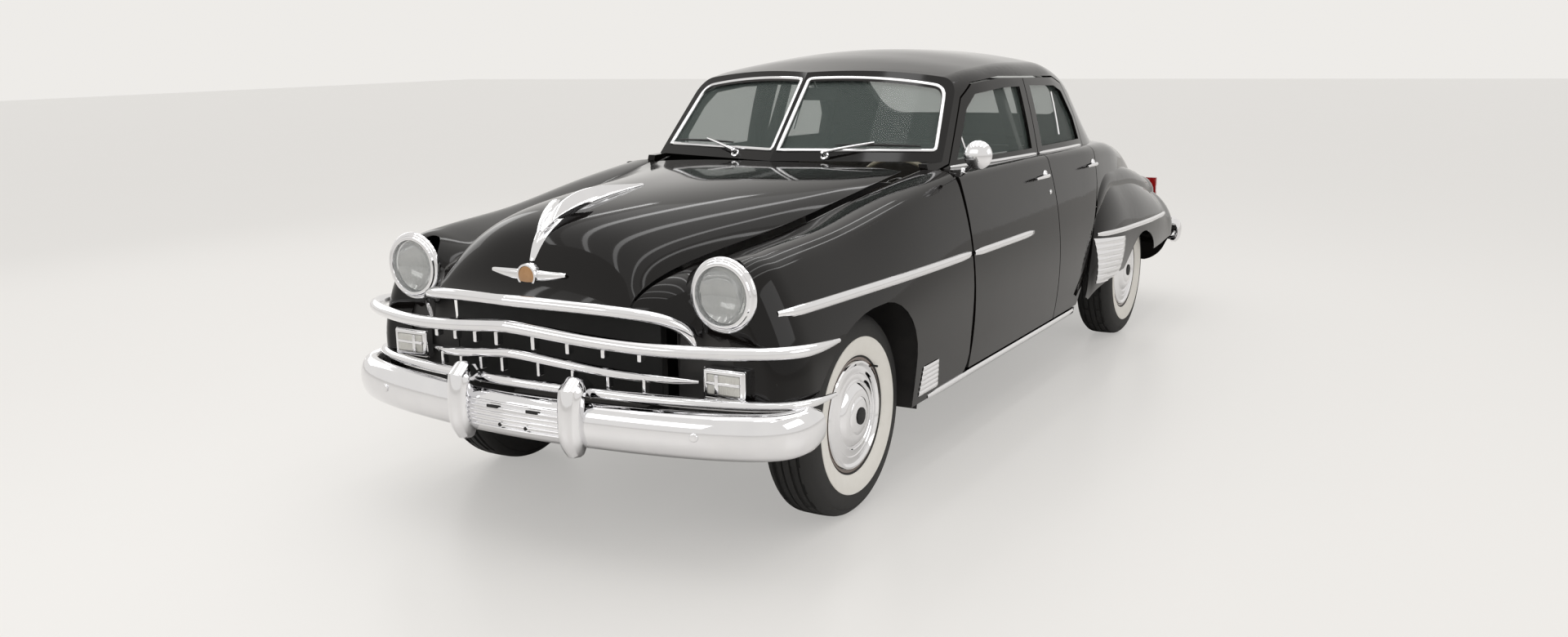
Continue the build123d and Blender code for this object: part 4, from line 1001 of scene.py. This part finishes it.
for side, hand in sides:
    pivot = onScreen(side, *wiperSizes["pivot"], 0.002)
    armEnd = onScreen(side, *wiperSizes["armEnd"], wiperSizes["proud"] + 0.010)
    bladeStart = onScreen(side, *wiperSizes["blade"][0], wiperSizes["proud"])
    bladeEnd = onScreen(side, *wiperSizes["blade"][1], wiperSizes["proud"])
    knob = lathe(wiperSizes["knob"], pivot, (0, -0.72, 0.69), 32)
    lift = Vector((0, -0.012, 0.012))
    arm = strip([pivot + lift * 1.3, pivot.lerp(armEnd, 0.3) + lift, pivot.lerp(armEnd, 0.7) + lift * 0.6, armEnd],
                0.0055, steps=6, taper=(1.4, 1.2, 0.9, 0.7))
    brightPiece(joinAll([knob, arm]), f"wiper_arm_{hand}")
    blade = strip([bladeStart, bladeStart.lerp(bladeEnd, 0.33) + lift * 0.3,
                   bladeStart.lerp(bladeEnd, 0.66) + lift * 0.3, bladeEnd], 0.0062, steps=6, taper=(0.5, 1, 1, 0.5))
    finishPiece(blade, f"wiper_blade_{hand}", "body", darkSeal)

mirrorSizes = {
    "centre": (0.882, -0.905, 1.172), "axis": (0.12, -0.97, 0.04), "seat": (-0.800, 1.096), "glassBack": 0.0105,
    "shell": [(0.0, 0.020), (0.020, 0.0185), (0.040, 0.0125), (0.052, 0.003), (0.056, -0.006), (0.054, -0.010),
              (0.0, -0.010)],
    "glass": [(0.0, 0.0), (0.051, 0.0), (0.0515, -0.002), (0.0, -0.002)],
    "foot": [(0.0, 0.010), (0.010, 0.009), (0.017, 0.003), (0.018, -0.004), (0.0, -0.004)],
}
centre, axis = Vector(mirrorSizes["centre"]), Vector(mirrorSizes["axis"])
brightPiece(lathe(mirrorSizes["shell"], centre, axis, 64), "side_mirror_shell", "front_left_door")
glassDisc = lathe(mirrorSizes["glass"], centre - axis * mirrorSizes["glassBack"], axis, 64)
finishPiece(glassDisc, "side_mirror_glass", "front_left_door", reflector)
seat = onSide(frontDoorTree["left"], 1, *mirrorSizes["seat"], 0.002)
stalk = strip([seat, seat + Vector((0.030, -0.010, 0.014)), centre + Vector((-0.030, 0.050, -0.030)),
               centre + Vector((-0.004, 0.016, -0.006))], 0.0062, steps=8, taper=(1.6, 1.1, 0.9, 0.9))
foot = lathe(mirrorSizes["foot"], seat, (1, 0, 0.25), 32)
brightPiece(joinAll([stalk, foot]), "side_mirror_arm", "front_left_door")
print("wipers and mirror dressed")


# ---------- seats ----------
seamSizes = {"depth": 0.009, "width": 0.014, "frames": 20, "voxel": 0.014}


def cushion(name, size, place, lean, cap, nodes, channels):
    # rounded block, swelled as a sewn pad, then its seams pressed in
    pad = applyAll(box(size, (0, 0, 0), width=min(size) * 0.30, segments=4))
    remesh = pad.modifiers.new("remesh", "REMESH")
    remesh.mode = "VOXEL"
    remesh.voxel_size = seamSizes["voxel"]
    activate(pad)
    bpy.ops.object.modifier_apply(modifier="remesh")
    start = [v.co.copy() for v in pad.data.vertices]
    cloth = pad.modifiers.new("cloth", "CLOTH")
    cloth.settings.use_pressure = True
    cloth.settings.uniform_pressure_force = 4
    cloth.settings.effector_weights.gravity = 0
    cloth.point_cache.frame_end = seamSizes["frames"]
    for step in range(1, seamSizes["frames"] + 1):
        bpy.context.scene.frame_set(step)
    bpy.ops.object.modifier_apply(modifier="cloth")
    bpy.context.scene.frame_set(1)
    for vert, first in zip(pad.data.vertices, start):
        move = vert.co - first
        if move.length > cap:
            vert.co = first + move.normalized() * cap
    wide, deep, tall = size
    face = 2 if tall < deep else 1
    for vert in pad.data.vertices:
        share = vert.co.x / wide * channels
        dip = math.exp(-(abs(share - round(share)) * wide / channels / seamSizes["width"]) ** 2)
        if abs(share) < channels / 2 - 0.3:
            if face == 2 and vert.co.z > 0:
                vert.co.z -= seamSizes["depth"] * dip
            if face == 1 and vert.co.y < 0:
                vert.co.y += seamSizes["depth"] * dip
    spin = Matrix.Rotation(math.radians(lean), 4, "X")
    pad.data.transform(Matrix.Translation(place) @ spin)
    smoothed(pad, 1)
    finishPiece(pad, name, "body", seatCloth, 0, nodes)
    bpy.ops.object.shade_smooth()
    return pad


cushion("front_cushion", (1.190, 0.520, 0.160), (0, -0.020, 0.520), 0, 0.012, ("front_seat",), 6)
cushion("front_back", (1.170, 0.115, 0.515), (0, 0.262, 0.770), -12, 0.012, ("front_seat",), 6)
cushion("rear_cushion", (1.060, 0.435, 0.140), (0, 0.855, 0.540), 0, 0.010, ("rear_seat",), 6)
cushion("rear_back", (1.000, 0.100, 0.400), (0, 1.130, 0.800), -14, 0.010, ("rear_seat",), 6)
seatBase = box((1.080, 0.420, 0.076), (0, -0.020, 0.391), width=0.012)
finishPiece(seatBase, "front_seat_base", "body", blackSteel)
print("seats dressed")

# ---------- steering wheel, dash ----------
steering = {
    "head": (0.370, -0.440, 0.930), "tilt": 32, "radius": 0.215, "hornRadius": 0.110, "spokeOff": 0.011,
    "hub": [(0.0, 0.014), (0.016, 0.013), (0.030, 0.008), (0.037, -0.002), (0.038, -0.020), (0.0, -0.022)],
}
tilt = math.radians(steering["tilt"])
up = Vector((0, math.cos(tilt), math.sin(tilt)))
head = Vector(steering["head"])
bpy.ops.mesh.primitive_torus_add(major_radius=steering["radius"], minor_radius=0.0105,
                                 major_segments=96, minor_segments=18)
parts = [bpy.context.object]
for way in (1, -1):
    for off in (-steering["spokeOff"], steering["spokeOff"]):
        parts.append(strip([(way * 0.030, off, -0.004), (way * 0.10, off, -0.010), (way * 0.16, off, -0.008),
                            (way * 0.212, off * 0.9, 0)], 0.0058, steps=6))
parts.append(lathe(steering["hub"], (0, 0, 0), (0, 0, 1), 48))
whole = joinAll(parts)
place = Matrix.Translation(head) @ Vector((0, 0, 1)).rotation_difference(up).to_matrix().to_4x4()
whole.data.transform(place)
finishPiece(whole, "steering_wheel_rim", "steering_wheel", ivory, 50, ("steering_wheel",))
bpy.ops.mesh.primitive_torus_add(major_radius=steering["hornRadius"], minor_radius=0.0035,
                                 major_segments=64, minor_segments=10)
horn = applyAll(bpy.context.object)
horn.data.transform(place @ Matrix.Translation((0, 0, 0.002)))
brightPiece(horn, "horn_ring", "steering_wheel")

dashSizes = {
    "dials": ((0.370, 0.062), (0.520, 0.036), (0.225, 0.036)), "dialZ": 0.958, "faceY": -0.734,
    "knobX": (0.08, -0.08, -0.28, 0.14, -0.14, -0.34), "knobAt": (-0.735, 0.905),
    "knob": [(0.0, 0.020), (0.008, 0.019), (0.011, 0.012), (0.010, 0.0), (0.0, 0.0)],
    "grilleBars": 7, "grilleStep": 0.011, "glovebox": (-0.400, 0.880, 1.005),
}
dials, faces = [], []
for x, r in dashSizes["dials"]:
    bezel = [(r - 0.006, 0.004), (r - 0.002, 0.008), (r + 0.003, 0.006), (r + 0.004, -0.004), (r - 0.006, -0.004)]
    dials.append(lathe(bezel, (x, dashSizes["faceY"], dashSizes["dialZ"]), (0, 1, 0), 48))
    faces.append(disc(r - 0.004, 0.004, (x, dashSizes["faceY"] + 0.001, dashSizes["dialZ"]), (0, 1, 0), 48, 0.001))
dials += [lathe(dashSizes["knob"], (x, *dashSizes["knobAt"]), (0, 1, 0), 24) for x in dashSizes["knobX"]]
for i in range(dashSizes["grilleBars"]):
    place = (0, dashSizes["faceY"], 0.930 + i * dashSizes["grilleStep"])
    dials.append(box((0.180, 0.006, 0.005), place, width=0.0015))
gloveX, gloveLow, gloveHigh = dashSizes["glovebox"]
dials += [box((0.300, 0.006, 0.006), (gloveX, dashSizes["faceY"], z), width=0.002) for z in (gloveHigh, gloveLow)]
brightPiece(joinAll(dials), "dash_brightwork")
finishPiece(joinAll(faces), "dash_dials", "body", ivory)
insideGlass = box((0.200, 0.014, 0.055), (0, -0.560, 1.385), width=0.006)
finishPiece(insideGlass, "inside_mirror", "body", blackOut)
stem = strip([(0, -0.568, 1.405), (0, -0.585, 1.425), (0, -0.600, 1.440), (0, -0.610, 1.452)], 0.006)
brightPiece(stem, "inside_mirror_stem")
print("cabin dressed")

# ---------- back of the car ----------
trunkTree = treeOf("trunk_lid")
trunkSizes = {
    "handleZ": 0.760, "plateZ": 0.660,
    "handle": ((-0.085, 0.004, 0), (-0.060, 0.022, 0.004), (0.0, 0.030, 0.006), (0.060, 0.022, 0.004),
               (0.085, 0.004, 0)),
}
handleSeat = onFront(trunkTree, 0.0, trunkSizes["handleZ"], -1)
grip = strip([handleSeat + Vector(off) for off in trunkSizes["handle"]], 0.010, steps=8, taper=(0.6, 1, 1.2, 1, 0.6))
brightPiece(grip, "trunk_handle", "trunk_lid")
plateY = onFront(trunkTree, 0.0, trunkSizes["plateZ"], -1).y
plateBox = box((0.300, 0.006, 0.150), (0, plateY + 0.010, 0.655), width=0.003)
finishPiece(plateBox, "plate_blank", "trunk_lid", ivory)
lampShell = box((0.130, 0.040, 0.026), (0, plateY + 0.014, 0.745), width=0.008)
brightPiece(lampShell, "plate_lamp", "trunk_lid")
print("back dressed")

# ---------- floor, lamps, camera ----------
bpy.ops.mesh.primitive_plane_add(size=90, location=(0, 0, 0))
floor = bpy.context.object
floor.name = "studio_floor"
floor.data.materials.append(floorPaint)

world = bpy.data.worlds.new("studio")
bpy.context.scene.world = world
world.use_nodes = True
tree = world.node_tree
back = tree.nodes["Background"]
# the camera and reflections see a brighter sky than the one that lights the car
path = tree.nodes.new("ShaderNodeLightPath")
first, second = (tree.nodes.new("ShaderNodeMath") for i in range(2))
first.operation = second.operation = "MAXIMUM"
tree.links.new(path.outputs["Is Camera Ray"], first.inputs[0])
tree.links.new(path.outputs["Is Glossy Ray"], first.inputs[1])
tree.links.new(first.outputs[0], second.inputs[0])
tree.links.new(path.outputs["Is Transmission Ray"], second.inputs[1])
strength = tree.nodes.new("ShaderNodeMapRange")
strength.inputs["To Min"].default_value = 0.72
strength.inputs["To Max"].default_value = 0.90
tree.links.new(second.outputs[0], strength.inputs["Value"])
tree.links.new(strength.outputs["Result"], back.inputs["Strength"])
back.inputs["Color"].default_value = (0.95, 0.93, 0.90, 1)

# name, place, turn, width, length and power
lampRows = (
    ("ceiling", (0.0, -0.4, 5.6), (0, 0, 0), 6.5, 9.0, 60),
    *((f"tube {label}", (x, -0.5, 4.8), (0, 0, 0), 0.25, 8.0, 20)
      for label, x in zip("ABCDE", (-3.2, -1.6, 0.0, 1.6, 3.2))),
    ("leftWall", (6.5, -2.5, 3.2), (math.radians(62), 0, math.radians(112)), 5.0, 2.4, 50),
    ("frontWall", (-2.5, -8.5, 3.4), (math.radians(64), 0, math.radians(-18)), 6.0, 2.0, 50),
    ("rightWall", (-6.5, 0.5, 3.0), (math.radians(62), 0, math.radians(-96)), 5.0, 2.0, 30),
)
for label, place, turn, wide, tall, power in lampRows:
    data = bpy.data.lights.new(label, "AREA")
    data.shape = "RECTANGLE"
    data.size = wide
    data.size_y = tall
    data.energy = power
    lamp = linkNew(label, data)
    lamp.location = place
    lamp.rotation_euler = turn

view = {"place": (2.721, -5.583, 1.609), "yaw": 30.09, "pitch": -12.10, "roll": -0.96, "lens": 29.606}
yaw, pitch, roll = (math.radians(view[k]) for k in ("yaw", "pitch", "roll"))
forward = Vector((-math.sin(yaw) * math.cos(pitch), math.cos(yaw) * math.cos(pitch), math.sin(pitch)))
right = Vector((math.cos(yaw), math.sin(yaw), 0))
upward = right.cross(forward)
rightRolled = right * math.cos(roll) + upward * math.sin(roll)
upRolled = upward * math.cos(roll) - right * math.sin(roll)
camData = bpy.data.cameras.new("view")
camData.lens = view["lens"]
camData.sensor_fit = "HORIZONTAL"
camData.sensor_width = 36
camData.clip_end = 200
cam = linkNew("view", camData)
cam.matrix_world = Matrix((
    (rightRolled.x, upRolled.x, -forward.x, view["place"][0]),
    (rightRolled.y, upRolled.y, -forward.y, view["place"][1]),
    (rightRolled.z, upRolled.z, -forward.z, view["place"][2]),
    (0, 0, 0, 1)))
bpy.context.scene.camera = cam
bpy.context.scene.view_settings.view_transform = "Standard"
deselect()
print("studio set")
